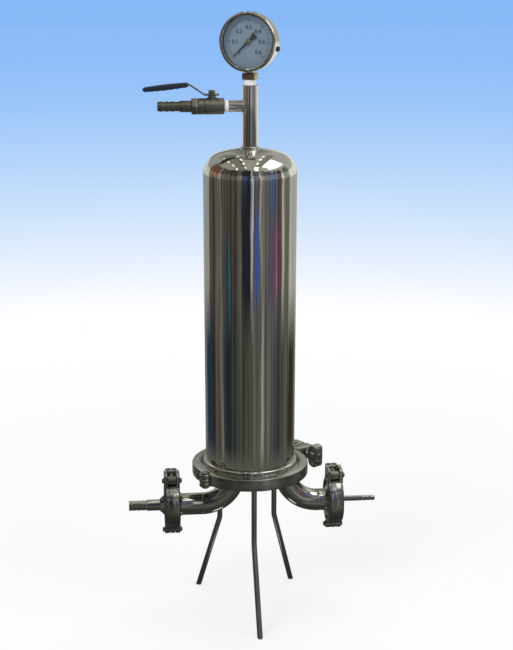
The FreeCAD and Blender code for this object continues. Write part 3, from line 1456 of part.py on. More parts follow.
def pleated_membrane():
    """Pleats folded between the core and the cage, as one closed zigzag wall."""
    outer = value("cartridge_od / 2 - cage_wall - loose_gap")
    inner = value("core_od / 2 + loose_gap + pleat_thick")
    thick = value("pleat_thick")
    count = int(value("pleat_count"))
    low = value("cage_low")
    height = value("cage_high - cage_low")

    def star(shift):
        points = []
        for step in range(2 * count):
            radius = (outer if step % 2 == 0 else inner) - shift
            angle = math.pi * step / count
            points.append(Vector(radius * math.cos(angle), radius * math.sin(angle), low))
        return Part.Face(Part.makePolygon(points + points[:1]))

    face = star(0).cut(star(thick))
    body = doc.addObject("Part::Feature", "pleated_membrane")
    body.Label = "pleated_membrane"
    body.Shape = face.extrude(Vector(0, 0, height))
    pieces.append(body)


def cartridge_top_cap():
    body = new_body("cartridge_top_cap")
    turn(body, [
        ("0", "cage_high"),
        ("cartridge_od / 2", "cage_high"),
        ("cartridge_od / 2", "cage_high + cap_height"),
        ("cup_lead + core_od / 2", "cage_high + cap_height"),
        ("core_od / 4", "cage_high + cap_height + cup_lead"),
        ("core_od / 6", "cage_high + cap_height + fin_height"),
        ("0", "cage_high + cap_height + fin_height"),
    ])
    keep(body)


def cartridge():
    cartridge_adapter()
    sealing_rings()
    windowed_tube("cartridge_core", "core_od / 2", "core_wall", "4", "cage_rows")
    pleated_membrane()
    windowed_tube("cartridge_cage", "cartridge_od / 2", "cage_wall", "cage_windows", "cage_rows")
    cartridge_top_cap()


def legs():
    leg("leg_front", "front_azimuth", "front_drop", "front_reach")
    leg("leg_right", "right_azimuth", "rear_drop", "rear_reach")
    leg("leg_left", "left_azimuth", "rear_drop", "rear_reach")


def write_pieces():
    """Checks each sub-part and writes it to its own file."""
    check_state()
    for piece in pieces:
        shape = piece.Shape
        if shape.isNull() or not shape.isValid() or not shape.Solids:
            fail(f"{piece.Label} has no valid solid")
        shape.exportStep(f"parts/{piece.Label}.step")
    print(len(pieces), "sub-parts")


bell_shell()
bell_flange()
top_tee()
housing_base()
body_gasket()
legs()
ports()
outlet_hose_tail()
inlet_hose_tail()
clamps()
thread_tapes()
valve()
gauge()
cartridge()
write_pieces()
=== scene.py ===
import json
import math

import bpy
from mathutils import Matrix, Vector

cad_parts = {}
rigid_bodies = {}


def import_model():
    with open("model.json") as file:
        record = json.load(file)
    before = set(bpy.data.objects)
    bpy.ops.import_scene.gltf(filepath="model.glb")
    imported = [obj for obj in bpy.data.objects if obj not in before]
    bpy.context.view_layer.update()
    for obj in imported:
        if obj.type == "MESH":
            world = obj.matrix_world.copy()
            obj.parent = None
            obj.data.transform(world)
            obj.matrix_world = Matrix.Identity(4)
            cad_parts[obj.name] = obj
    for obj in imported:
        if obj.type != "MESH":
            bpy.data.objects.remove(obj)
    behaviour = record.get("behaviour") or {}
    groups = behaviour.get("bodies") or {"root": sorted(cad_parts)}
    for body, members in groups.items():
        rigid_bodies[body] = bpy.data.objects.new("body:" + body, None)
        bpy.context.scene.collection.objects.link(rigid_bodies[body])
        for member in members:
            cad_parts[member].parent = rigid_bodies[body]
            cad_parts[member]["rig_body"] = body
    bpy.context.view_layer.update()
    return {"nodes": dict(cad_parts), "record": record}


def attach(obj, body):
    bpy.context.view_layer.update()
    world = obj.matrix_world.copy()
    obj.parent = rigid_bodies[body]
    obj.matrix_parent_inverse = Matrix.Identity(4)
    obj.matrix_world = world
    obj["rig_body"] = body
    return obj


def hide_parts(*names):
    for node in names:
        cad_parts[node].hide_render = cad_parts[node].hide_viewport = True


bl_info = {
    "name": "Cartridge Filter",
    "version": (1, 0, 0),
    "blender": (4, 5, 0),
    "location": "3D Viewport > Sidebar > Filter",
    "description": "Dresses the cartridge filter housing, its clamps, valve and gauge",
    "category": "Object",
}

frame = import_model()
SLOTS = {part["node"]: part["material_slot"] for part in frame["record"]["subparts"]}

MM = 0.001


# Sizes and colours
def millimetres(name, text, default):
    return bpy.props.FloatProperty(name=name, description=text, default=default, min=0.01)


def color(name, text, default):
    return bpy.props.FloatVectorProperty(name=name, description=text, default=default, size=3,
                                         min=0.0, max=1.0, subtype="COLOR")


class HousingSizes(bpy.types.PropertyGroup):
    """Sizes of the bell, stem, base, ports and legs, in millimetres."""

    joint: millimetres("Joint", "Floor to the middle of the body gasket", 168.1)
    gasket: millimetres("Body gasket", "Thickness of the body gasket", 2.0)
    shell_od: millimetres("Shell", "Outside diameter of the bell's tube", 101.6)
    shell_wall: millimetres("Wall", "Wall of the bell", 2.0)
    shell_top: millimetres("Tube top", "Height where the tube meets the head", 502.5)
    crown: millimetres("Crown", "Radius of the head's crown", 140.0)
    knuckle: millimetres("Knuckle", "Radius of the head's knuckle", 25.0)
    flange_od: millimetres("Flange", "Diameter of the clamped flanges", 119.0)
    flange_rim: millimetres("Flange rim", "Thickness of a flange at its rim", 2.6)
    neck_od: millimetres("Neck", "Diameter behind a flange", 108.0)
    shoulder: millimetres("Shoulder", "Bell's face to the top of its shoulder", 10.2)
    base_thick: millimetres("Base", "Thickness of the base plate", 5.6)
    stem_od: millimetres("Stem", "Diameter of the upright stem", 16.8)
    stem_bore: millimetres("Stem bore", "Diameter of the stem's bore", 11.0)
    stem_length: millimetres("Stem length", "Dome to the top of the stem", 65.6)
    branch_height: millimetres("Branch", "Dome to the branch's axis", 44.3)
    branch_od: millimetres("Branch tube", "Diameter of the branch tube", 12.0)
    branch_reach: millimetres("Branch reach", "Axis to the end of the branch", 23.3)
    tube_od: millimetres("Port tube", "Diameter of the port tubes", 25.4)
    tube_wall: millimetres("Port wall", "Wall of the port tubes", 1.5)
    port_od: millimetres("Port flange", "Diameter of the port flanges", 50.5)
    port_neck: millimetres("Port neck", "Diameter behind a port flange", 43.5)
    port_rim: millimetres("Port rim", "Thickness of a port flange at its rim", 2.0)
    port_gasket: millimetres("Port gasket", "Thickness of a port gasket", 1.6)
    elbow: millimetres("Elbow", "Centre line radius of the elbows", 38.1)
    leg_rod: millimetres("Leg rod", "Diameter of the legs", 6.2)
    leg_bend: millimetres("Leg bend", "Centre line radius of the legs' bend", 16.0)
    leg_circle: millimetres("Leg circle", "Axis to the top of a leg", 42.0)


class FinishColors(bpy.types.PropertyGroup):
    """Colours of the finishes."""

    polished: color("Polished steel", "Mirror polished stainless steel", (0.74, 0.73, 0.69))
    cast: color("Cast steel", "Tumbled stainless castings", (0.60, 0.62, 0.57))
    rod: color("Leg rod", "Satin rod of the legs", (0.70, 0.72, 0.66))
    turned: color("Turned steel", "Valve and small fittings", (0.44, 0.435, 0.375))
    brass: color("Brass", "Gauge block and movement", (0.72, 0.57, 0.36))
    grip: color("Grip", "Dipped vinyl of the lever", (0.012, 0.020, 0.034))
    tape: color("Tape", "Wound thread tape", (0.86, 0.86, 0.84))
    glass: color("Glass", "Window of the gauge", (0.45, 0.60, 0.72))
    # Dial's blue-grey: its own pale tone darkened to its look in shade behind the glass, partly
    # painted shade
    dial: color("Dial", "Dial plate", (0.18, 0.25, 0.31))
    ink: color("Ink", "Marks, numbers and pointer", (0.012, 0.012, 0.014))
    gasket: color("Gasket", "Rubber of the gaskets", (0.70, 0.69, 0.65))
    plug: color("Plug", "Rubber of the gauge's vent plug", (0.05, 0.05, 0.05))
    plastic: color("Plastic", "Moulded plastic of the cartridge", (0.85, 0.85, 0.83))
    membrane: color("Membrane", "Pleated membrane of the cartridge", (0.92, 0.92, 0.89))
    floor: color("Floor", "Floor under the part", (0.93, 0.93, 0.93))


def sizes():
    return bpy.context.scene.filter_sizes


def colors():
    return bpy.context.scene.filter_colors


# Modelling
def deselect():
    if bpy.context.object and bpy.context.object.mode != "OBJECT":
        bpy.ops.object.mode_set(mode="OBJECT")
    bpy.ops.object.select_all(action="DESELECT")


def pick(obj):
    """Selects one object alone and makes it the active one."""
    deselect()
    obj.select_set(True)
    bpy.context.view_layer.objects.active = obj


def edit_all(obj):
    pick(obj)
    bpy.ops.object.mode_set(mode="EDIT")
    bpy.ops.mesh.select_all(action="SELECT")


def added(name):
    """The primitive just added, with its name and its place in its mesh."""
    obj = bpy.context.object
    obj.name = name
    bpy.ops.object.transform_apply()
    return obj


def extrude(x, y, z):
    step = (x * MM, y * MM, z * MM)
    bpy.ops.mesh.extrude_region_move(TRANSFORM_OT_translate={"value": step})


def tidy_mesh(obj):
    edit_all(obj)
    bpy.ops.mesh.remove_doubles(threshold=2e-6)
    bpy.ops.mesh.normals_make_consistent(inside=False)
    deselect()


def arc(x, z, radius, start, end, count):
    """Points of an arc about (x, z), from one angle in degrees to another."""
    angles = [math.radians(start + (end - start) * step / count) for step in range(count + 1)]
    return [(x + radius * math.cos(angle), z + radius * math.sin(angle)) for angle in angles]


def mirrored(outline):
    """An outline and then its mirror image, back to where it started."""
    return outline + [(along, -across) for along, across in reversed(outline)]


def lathe(name, outline, count=96, closed=False):
    """A circle that is extruded and resized along an outline of (radius, height).

    A closed outline goes back to its first point. A point on the axis becomes
    a circle so small that its vertices merge.
    """
    pole = 0.0005
    outline = [(max(radius, pole), height) for radius, height in outline]
    if closed:
        outline.append(outline[0])
    radius, height = outline[0]
    deselect()
    bpy.ops.mesh.primitive_circle_add(vertices=count, radius=radius * MM,
                                      location=(0, 0, height * MM))
    obj = added(name)
    edit_all(obj)
    for next_radius, next_height in outline[1:]:
        extrude(0, 0, next_height - height)
        grow = next_radius / radius
        bpy.ops.transform.resize(value=(grow, grow, 1), center_override=(0, 0, 0))
        radius, height = next_radius, next_height
    tidy_mesh(obj)
    return obj


def rod(name, radius, low, high, chamfer=0.3, count=32):
    return lathe(name, [(0, low), (radius - chamfer, low), (radius, low + chamfer),
                        (radius, high - chamfer), (radius - chamfer, high), (0, high)], count)


def prism(name, flats, low, high, edge=0.4):
    """A hexagon bar with soft edges."""
    reach = flats / 2 / math.cos(math.radians(30))
    bar = lathe(name, [(0, low), (reach, low), (reach, high), (0, high)], 6)
    bevel(bar, edge, 2)
    return bar


def block(name, low, high, edge=0.0):
    """A box between two corners, with rounded edges."""
    middle = [(a + b) / 2 * MM for a, b in zip(low, high)]
    scale = [(b - a) * MM for a, b in zip(low, high)]
    deselect()
    bpy.ops.mesh.primitive_cube_add(size=1, location=middle, scale=scale)
    obj = added(name)
    if edge:
        bevel(obj, edge, 2)
    return obj


def plate(name, outline, low, high, edge=0.0):
    """A plate with an outline of (x, y), drawn point by point and extruded up."""
    deselect()
    (x, y), *others = outline
    bpy.ops.mesh.primitive_plane_add(size=MM, location=(x * MM, y * MM, low * MM))
    obj = added(name)
    edit_all(obj)
    bpy.ops.mesh.merge(type="CENTER")
    for next_x, next_y in others:
        extrude(next_x - x, next_y - y, 0)
        x, y = next_x, next_y
    bpy.ops.mesh.select_all(action="SELECT")
    bpy.ops.mesh.edge_face_add()
    extrude(0, 0, high - low)
    tidy_mesh(obj)
    if edge:
        bevel(obj, edge, 3)
    return obj


def apply_modifiers(obj):
    pick(obj)
    for modifier in list(obj.modifiers):
        bpy.ops.object.modifier_apply(modifier=modifier.name)


def bevel(obj, width, steps):
    """Rounds the edges that turn by more than 30 degrees."""
    modifier = obj.modifiers.new("Edges", "BEVEL")
    modifier.width = width * MM
    modifier.segments = steps
    modifier.limit_method = "ANGLE"
    modifier.angle_limit = math.radians(30)
    modifier.use_clamp_overlap = True
    apply_modifiers(obj)


def carve(obj, tool):
    """Cuts a tool out of an object and deletes the tool."""
    modifier = obj.modifiers.new("Cut", "BOOLEAN")
    modifier.operation = "DIFFERENCE"
    modifier.solver = "EXACT"
    modifier.object = tool
    apply_modifiers(obj)
    bpy.data.objects.remove(tool)


def slice_off(obj, point, normal):
    """Cuts an object on a plane and drops the side that the normal points to."""
    edit_all(obj)
    bpy.ops.mesh.bisect(plane_co=[value * MM for value in point], plane_no=normal,
                        use_fill=True, clear_outer=True)
    deselect()


def move(obj, at=(0, 0, 0), turn=Matrix.Identity(3)):
    """Turns and shifts a piece, and applies it to the mesh."""
    pick(obj)
    obj.matrix_world = Matrix.Translation([value * MM for value in at]) @ turn.to_4x4()
    bpy.ops.object.transform_apply()
    return obj


def join(first, *others):
    pick(first)
    for obj in others:
        obj.select_set(True)
    if others:
        bpy.ops.object.join()
    return first


def smooth(obj, angle):
    pick(obj)
    bpy.ops.object.shade_smooth_by_angle(angle=math.radians(angle))


def axes(x, y, z):
    """The turn that takes X, Y and Z to three directions."""
    return Matrix((x, y, z)).transposed()


INLET = axes((0, 0, 1), (0, -1, 0), (1, 0, 0))
OUTLET = axes((0, 0, 1), (0, 1, 0), (-1, 0, 0))
FORWARD = axes((1, 0, 0), (0, 0, 1), (0, -1, 0))
UPRIGHT = axes((0, 1, 0), (0, 0, 1), (1, 0, 0))
SIDEWAYS = axes((0, -1, 0), (0, 0, 1), (-1, 0, 0))


def spun(axis, degrees):
    return Matrix.Rotation(math.radians(degrees), 3, axis)


def fit(obj, node, at, turn, finish, angle):
    """Places a piece, gives it its finish, and lets it ride on the body of a node."""
    move(obj, at, turn)
    smooth(obj, angle)
    obj.data.materials.clear()
    obj.data.materials.append(finishes[finish])
    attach(obj, frame["nodes"][node]["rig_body"])


def dress(obj, node, at=(0, 0, 0), turn=Matrix.Identity(3), finish=None, angle=32):
    """Puts a finished piece in place of its node."""
    slot = SLOTS[node]
    fit(obj, node, at, turn, finish or slot, angle)
    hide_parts(node)


def add_on(obj, node, at, turn, slot):
    """Puts a small extra piece on the body that holds a node."""
    fit(obj, node, at, turn, slot, 32)


# Materials
class Wire:
    """A value in a material. Python's operators add the Math nodes."""

    def __init__(self, recipe, socket):
        self.recipe = recipe
        self.socket = socket

    def __add__(self, other):
        return self.recipe.math("ADD", self, other)

    def __sub__(self, other):
        return self.recipe.math("SUBTRACT", self, other)

    def __rsub__(self, other):
        return self.recipe.math("SUBTRACT", other, self)

    def __mul__(self, other):
        return self.recipe.math("MULTIPLY", self, other)

    def __truediv__(self, other):
        return self.recipe.math("DIVIDE", self, other)

    def __rtruediv__(self, other):
        return self.recipe.math("DIVIDE", other, self)

    __radd__ = __add__
    __rmul__ = __mul__


class Recipe:
    """A node tree, and one way to add any node to it."""

    def __init__(self, tree):
        self.tree = tree

    def plug(self, socket, value):
        if isinstance(value, Wire):
            self.tree.links.new(value.socket, socket)
        else:
            socket.default_value = value

    def node(self, kind, settings=None, values=None, output=0):
        node = self.tree.nodes.new(kind)
        for key, value in (settings or {}).items():
            if key == "stops":
                set_stops(node.color_ramp, value)
            else:
                setattr(node, key, value)
        for key, value in (values or {}).items():
            self.plug(node.inputs[key], value)
        return Wire(self, node.outputs[output])

    def math(self, operation, first, second=0.0):
        return self.node("ShaderNodeMath", {"operation": operation}, {0: first, 1: second})

    def ramp(self, value, stops):
        return self.node("ShaderNodeValToRGB", {"stops": stops}, {0: value})

    def split(self, vector):
        outputs = self.node("ShaderNodeSeparateXYZ", None, {0: vector}).socket.node.outputs
        return [Wire(self, output) for output in outputs]

    def coordinates(self, stretch=(1, 1, 1)):
        plain = self.node("ShaderNodeTexCoord", output=3)
        return self.node("ShaderNodeMapping", None, {"Vector": plain, "Scale": stretch})

    def noise(self, scale, detail=3.0, stretch=(1, 1, 1)):
        return self.node("ShaderNodeTexNoise", None,
                         {"Vector": self.coordinates(stretch), "Scale": scale,
                          "Detail": detail, "Roughness": 0.55})

    def spread(self, value, low, high, start=0.3, stop=0.7):
        """Maps start..stop of a value to low..high, and clamps it."""
        return self.node("ShaderNodeMapRange", None,
                         {"Value": value, "From Min": start, "From Max": stop,
                          "To Min": low, "To Max": high})

    def mix(self, factor, first, second):
        """A colour between two colours, each a wire or a plain colour."""
        first = first if isinstance(first, Wire) else (*first, 1)
        second = second if isinstance(second, Wire) else (*second, 1)
        return self.node("ShaderNodeMix", {"data_type": "RGBA"},
                         {0: factor, 6: first, 7: second}, 2)

    def band(self, value, middle, half, soft):
        """1 within half of the middle, fading to 0 over soft."""
        return self.spread(self.math("ABSOLUTE", value - middle), 1, 0, half, half + soft)

    def away(self, across, back):
        """Distance from the axis."""
        return self.math("SQRT", across * across + back * back)

    def glow(self, shade, strength):
        return self.node("ShaderNodeEmission", None, {"Color": shade, "Strength": strength})

    def seen(self):
        """1 for what the camera sees, straight or in metal and glass."""
        path = self.node("ShaderNodeLightPath").socket.node.outputs
        straight, glossy, through = [Wire(self, path[name]) for name in
                                     ("Is Camera Ray", "Is Glossy Ray", "Is Transmission Ray")]
        return self.math("MINIMUM", straight + glossy + through, 1)


class Finish(Recipe):
    """A material whose recipe feeds its shader."""

    def __init__(self, name, base, metallic, roughness):
        self.material = bpy.data.materials.new(name)
        self.material.use_nodes = True
        self.material.diffuse_color = (*base, 1)
        super().__init__(self.material.node_tree)
        self.shader = self.tree.nodes["Principled BSDF"]
        self.base = base
        self.set("Base Color", (*base, 1))
        self.set("Metallic", metallic)
        self.set("Roughness", roughness)

    def set(self, key, value):
        self.plug(self.shader.inputs[key], value)

    def vary(self, patch, low, high):
        """Roughness that runs from low to high over a noise."""
        self.set("Roughness", self.spread(patch, low, high))

    def mottle(self, patch, share):
        """Base colour that darkens to a share of itself over a noise."""
        dark = [part * share for part in self.base]
        self.set("Base Color", self.mix(self.spread(patch, 0, 1), self.base, dark))

    def bump(self, height, depth):
        """Bump of a height that runs from 0 to 1, over a depth in millimetres."""
        normal = self.node("ShaderNodeBump", None,
                           {"Height": height, "Distance": depth * MM, "Strength": 1.0})
        self.set("Normal", normal)

    def show(self, shader):
        self.plug(self.tree.nodes["Material Output"].inputs["Surface"], shader)


def set_stops(ramp, stops):
    while len(ramp.elements) > 1:
        ramp.elements.remove(ramp.elements[-1])
    ramp.elements[0].position = stops[0][0]
    ramp.elements[0].color = (*stops[0][1], 1)
    for place, shade in stops[1:]:
        ramp.elements.new(place).color = (*shade, 1)


def polished_steel():
    steel = Finish("Polished steel", colors().polished, 1.0, 0.05)
    wipe = steel.noise(9, 4, (1, 1, 0.25))
    steel.vary(wipe, 0.035, 0.09)
    steel.mottle(wipe, 0.9)
    steel.bump(steel.noise(16, 2, (1, 1, 0.35)), 0.02)
    return steel.material


def cast_steel():
    steel = Finish("Cast steel", colors().cast, 1.0, 0.25)
    patch = steel.noise(45, 4)
    steel.vary(patch, 0.18, 0.32)
    steel.mottle(patch, 0.72)
    steel.bump(steel.noise(900) * 0.5 + steel.noise(160) * 0.5, 0.07)
    return steel.material


def glossy_cast():
    steel = Finish("Glossy cast steel", colors().cast, 1.0, 0.17)
    patch = steel.noise(60)
    steel.vary(patch, 0.13, 0.22)
    steel.mottle(patch, 0.75)
    steel.bump(steel.noise(70, 2), 0.25)
    return steel.material


def rod_steel():
    steel = Finish("Rod steel", colors().rod, 1.0, 0.34)
    patch = steel.noise(30, 4)
    steel.vary(patch, 0.27, 0.42)
    steel.mottle(patch, 0.7)
    steel.bump(steel.noise(700, 2, (1, 1, 0.1)), 0.03)
    return steel.material


def turned_steel():
    steel = Finish("Turned steel", colors().turned, 1.0, 0.38)
    patch = steel.noise(60, 4)
    steel.vary(patch, 0.32, 0.46)
    steel.mottle(patch, 0.75)
    steel.bump(steel.noise(1500, 2, (1, 0.05, 0.05)), 0.02)
    return steel.material


def dull_brass():
    brass = Finish("Dull brass", colors().brass, 1.0, 0.36)
    patch = brass.noise(120, 4)
    brass.vary(patch, 0.3, 0.45)
    brass.mottle(patch, 0.55)
    return brass.material


def dipped_vinyl():
    vinyl = Finish("Dipped vinyl", colors().grip, 0.0, 0.35)
    vinyl.vary(vinyl.noise(80), 0.28, 0.45)
    vinyl.bump(vinyl.noise(120), 0.25)
    return vinyl.material


def thread_tape():
    tape = Finish("Thread tape", colors().tape, 0.0, 0.6)
    folds = tape.noise(500, 3, (0.3, 0.3, 1.6))
    tape.mottle(folds, 0.86)
    tape.bump(folds, 0.35)
    return tape.material


def window_glass():
    glass = Finish("Window glass", colors().glass, 0.0, 0.03)
    glass.set("Alpha", 0.03)
    return glass.material


def plain(name, base, roughness):
    coat = Finish(name, base, 0.0, roughness)
    cloud = coat.noise(70)
    coat.vary(cloud, roughness * 0.85, min(roughness * 1.15, 1))
    coat.mottle(cloud, 0.93)
    return coat.material


finishes = {}


def make_finishes():
    c = colors()
    finishes.update(
        polished=polished_steel(), legs=rod_steel(), cast=cast_steel(), port_cast=glossy_cast(),
        hardware=turned_steel(), grip=dipped_vinyl(), tape=thread_tape(), brass=dull_brass(),
        window=window_glass(), dial=plain("Dial enamel", c.dial, 0.4),
        pointer=plain("Black ink", c.ink, 0.5), gaskets=plain("Gasket rubber", c.gasket, 0.6),
        plug=plain("Plug rubber", c.plug, 0.6),
        cartridge=plain("Moulded plastic", c.plastic, 0.45),
        membrane=plain("Membrane", c.membrane, 0.9))
    for slot, like in (("nuts", "cast"), ("valve", "hardware"), ("lever", "hardware"),
                       ("case", "polished")):
        finishes[slot] = finishes[like]


class FILTER_OT_finishes(bpy.types.Operator):
    """Makes the materials and gives them to the solids that show as they are"""

    bl_idname = "filter.finishes"
    bl_label = "Finishes"

    def execute(self, context):
        make_finishes()
        for name, slot in SLOTS.items():
            node = frame["nodes"][name]
            node.data.materials.clear()
            node.data.materials.append(finishes[slot])
        return {"FINISHED"}


# Places worked out from the sizes
def bell_face():
    s = sizes()
    return s.joint + s.gasket / 2


def base_face():
    s = sizes()
    return s.joint - s.gasket / 2


def base_bottom():
    return base_face() - sizes().base_thick


def port_axis():
    return base_bottom() - sizes().elbow


def knuckle_share():
    """Cosine of the angle at which the head's knuckle meets its crown."""
    s = sizes()
    return (s.shell_od / 2 - s.knuckle) / (s.crown - s.knuckle)


def dome_centre():
    s = sizes()
    return s.shell_top - (s.crown - s.knuckle) * math.sqrt(1 - knuckle_share() ** 2)


def dome_top():
    return dome_centre() + sizes().crown


def stem_top():
    return dome_top() + sizes().stem_length


def slope(rise):
    """Thickness that a flange's or a groove's 20 degree slope gains over a rise."""
    return rise * math.tan(math.radians(20))


# Bell and base
def bell_outline():
    s = sizes()
    face, centre = bell_face(), dome_centre()
    outer = s.shell_od / 2
    inner = outer - s.shell_wall
    bend = outer - s.knuckle
    touch = math.degrees(math.acos(knuckle_share()))
    under = s.crown - s.shell_wall
    bore = s.stem_bore / 2
    rise = math.degrees(math.acos(bore / s.crown))
    inner_rise = math.degrees(math.acos(bore / under))
    return [(inner, face), (outer, face), (outer, (face + s.shell_top) / 2),
            *arc(bend, s.shell_top, s.knuckle, 0, touch, 14),
            *arc(0, centre, s.crown, touch, rise, 12)[1:],
            *arc(0, centre, under, inner_rise, touch, 6),
            *arc(bend, s.shell_top, s.knuckle - s.shell_wall, touch, 0, 6)[1:]]


def flange_outline():
    s = sizes()
    face = bell_face()
    shell, neck, flange = s.shell_od / 2 + 0.1, s.neck_od / 2, s.flange_od / 2
    back = face + s.flange_rim + slope(flange - neck)
    top = face + s.shoulder
    fillet = neck - shell - 0.3
    return [(shell, face), (flange - 0.4, face), (flange, face + 0.4),
            (flange, face + s.flange_rim), (neck + 0.3, back - 0.1), (neck, back + 0.2),
            (neck, top - fillet), *arc(neck - fillet, top - fillet, fillet, 0, 90, 8)[1:],
            (shell, top)]


class FILTER_OT_bell(bpy.types.Operator):
    """Models the polished bell with its flange, shoulder and domed head"""

    bl_idname = "filter.bell"
    bl_label = "Bell"

    def execute(self, context):
        dress(lathe("bell", bell_outline(), 192, closed=True), "bell_shell")
        dress(lathe("flange_ring", flange_outline(), 192, closed=True), "bell_flange")
        return {"FINISHED"}


def weld_bead(name, radius, width, count, ripple=0.18):
    """A welded bead: a ring whose section swells and sinks along its run."""
    steps_per_ripple = 4
    around = count * steps_per_ripple
    deselect()
    bpy.ops.mesh.primitive_torus_add(major_radius=radius * MM, minor_radius=width / 2 * MM,
                                     major_segments=around, minor_segments=10)
    bead = added(name)
    edit_all(bead)
    bpy.ops.mesh.select_all(action="DESELECT")
    bpy.ops.object.mode_set(mode="OBJECT")
    for vertex in bead.data.vertices:
        place = math.atan2(vertex.co.y, vertex.co.x) / (2 * math.pi) * around
        vertex.select = round(place) % steps_per_ripple == 0
    bpy.ops.object.mode_set(mode="EDIT")
    bpy.ops.mesh.select_mode(type="VERT")
    bpy.ops.transform.shrink_fatten(value=ripple * MM)
    deselect()
    return bead


# Branch: radius of its bore and of its thread, and the axis to its tip
BRANCH_BORE = 3
BRANCH_THREAD = 5.1
BRANCH_TIP = 32.6


class FILTER_OT_top_tee(bpy.types.Operator):
    """Models the stem and the branch on the dome"""

    bl_idname = "filter.top_tee"
    bl_label = "Stem and branch"

    def execute(self, context):
        s = sizes()
        radius, bore, tube = s.stem_od / 2, s.stem_bore / 2, s.branch_od / 2
        flare = radius + 2.4
        foot = dome_centre() + math.sqrt(s.crown ** 2 - flare ** 2)
        top = stem_top()
        stem = lathe("stem_and_branch", [
            (bore, foot + 1), (flare, foot + 0.05), (radius + 1.6, foot + 0.8),
            (radius + 0.5, foot + 1.7), (radius, foot + 2.6), (radius, top - 0.6),
            (radius - 0.6, top), (bore, top)], 64, closed=True)
        start = 4
        branch = lathe("branch", [
            (BRANCH_BORE, start), (tube, start), (tube, s.branch_reach - 0.5),
            (tube - 0.5, s.branch_reach), (BRANCH_THREAD, s.branch_reach),
            (BRANCH_THREAD, BRANCH_TIP), (BRANCH_BORE, BRANCH_TIP)], 48, closed=True)
        axis = dome_top() + s.branch_height
        move(branch, (0, 0, axis), OUTLET)
        bead = weld_bead("foot_bead", radius + 1.0, 1.6, 26, 0.12)
        move(bead, (0, 0, foot + 1.3))
        collar = weld_bead("branch_bead", tube + 0.2, 1.5, 18, 0.12)
        move(collar, (-radius + 0.2, 0, axis), OUTLET)
        dress(join(stem, branch, bead, collar), "top_tee")
        return {"FINISHED"}


def base_outline():
    """Base plate with its flange, and the cup for the cartridge's plug."""
    s = sizes()
    face, bottom = base_face(), base_bottom()
    flange, neck = s.flange_od / 2, s.neck_od / 2
    back = face - s.flange_rim - slope(flange - neck)
    cup, bore, rim, edge = 35, 28.6, face + 28, 1.2
    return [(0, bottom), (neck - 0.8, bottom), (neck, bottom + 0.8), (neck, back),
            (flange, face - s.flange_rim), (flange, face), (cup, face), (cup, rim),
            (bore + edge, rim), (bore, rim - edge), (bore, face), (0, face)]


class FILTER_OT_base(bpy.types.Operator):
    """Models the base plate with its cup, and the weld beads under it"""

    bl_idname = "filter.base"
    bl_label = "Base"

    def execute(self, context):
        s = sizes()
        base = lathe("base_plate", base_outline(), 128)
        seam = base_bottom() - 0.2
        for foot in ELBOW_FEET.values():
            bead = weld_bead("elbow_bead", s.tube_od / 2 + 0.5, 1.8, 34)
            join(base, move(bead, (foot, 0, seam)))
        for azimuth in LEG_TURNS.values():
            bead = weld_bead("leg_bead", s.leg_rod / 2 + 0.4, 1.6, 12)
            join(base, move(bead, leg_top(azimuth, seam)))
        dress(base, "housing_base")
        return {"FINISHED"}


# Directions of the legs, and their drop from the base to the bend and reach from the axis
LEG_TURNS = {"leg_front": -89, "leg_right": 42, "leg_left": 143}
LEG_BENDS = {"leg_front": (74, 101), "leg_right": (66, 73.7), "leg_left": (66, 73.7)}


def leg_top(azimuth, height):
    turn = math.radians(azimuth)
    circle = sizes().leg_circle
    return circle * math.cos(turn), circle * math.sin(turn), height


def bent_rod(name, drop, reach):
    """A rod that hangs down, bends outwards in X and is cut level at the floor."""
    s = sizes()
    start = base_bottom()
    run, fall = reach - s.leg_circle, start - drop
    lean = math.atan2(run, fall)
    back = s.leg_bend * math.tan(lean / 2)
    spare = 8
    deselect()
    bpy.ops.mesh.primitive_circle_add(vertices=32, radius=s.leg_rod / 2 * MM, fill_type="NGON")
    leg = added(name)
    edit_all(leg)
    extrude(0, 0, back - drop)
    bpy.ops.mesh.spin(steps=12, angle=lean, axis=(0, 1, 0),
                      center=(s.leg_bend * MM, 0, (back - drop) * MM))
    length = math.hypot(run, fall) - back + spare
    extrude(math.sin(lean) * length, 0, -math.cos(lean) * length)
    tidy_mesh(leg)
    slice_off(leg, (0, 0, -start), (0, 0, -1))
    return leg


class FILTER_OT_legs(bpy.types.Operator):
    """Models the three bent rods that the housing stands on"""

    bl_idname = "filter.legs"
    bl_label = "Legs"

    def execute(self, context):
        for node, azimuth in LEG_TURNS.items():
            leg = bent_rod(node + "_rod", *LEG_BENDS[node])
            dress(leg, node, leg_top(azimuth, base_bottom()), spun("Z", azimuth))
        return {"FINISHED"}


# Places in X of the port clamps and of the elbows under the base, and the ports' turns
PORT_CLAMPS = {"outlet": -90.6, "inlet": 97.9}
ELBOW_FEET = {"outlet": -17.5, "inlet": 40}
PORT_TURNS = {"outlet": OUTLET, "inlet": INLET}


def port_face(side, away):
    """Place in X of a port's face: away is 1 on the outer side of its gasket, or -1."""
    clamp = PORT_CLAMPS[side]
    return clamp + math.copysign(sizes().port_gasket / 2, clamp) * away


def port_flange():
    """Radius of a port flange and of the neck behind it, and depth of its rim and slope."""
    s = sizes()
    flange, neck = s.port_od / 2, s.port_neck / 2
    return flange, neck, s.port_rim, s.port_rim + slope(flange - neck)


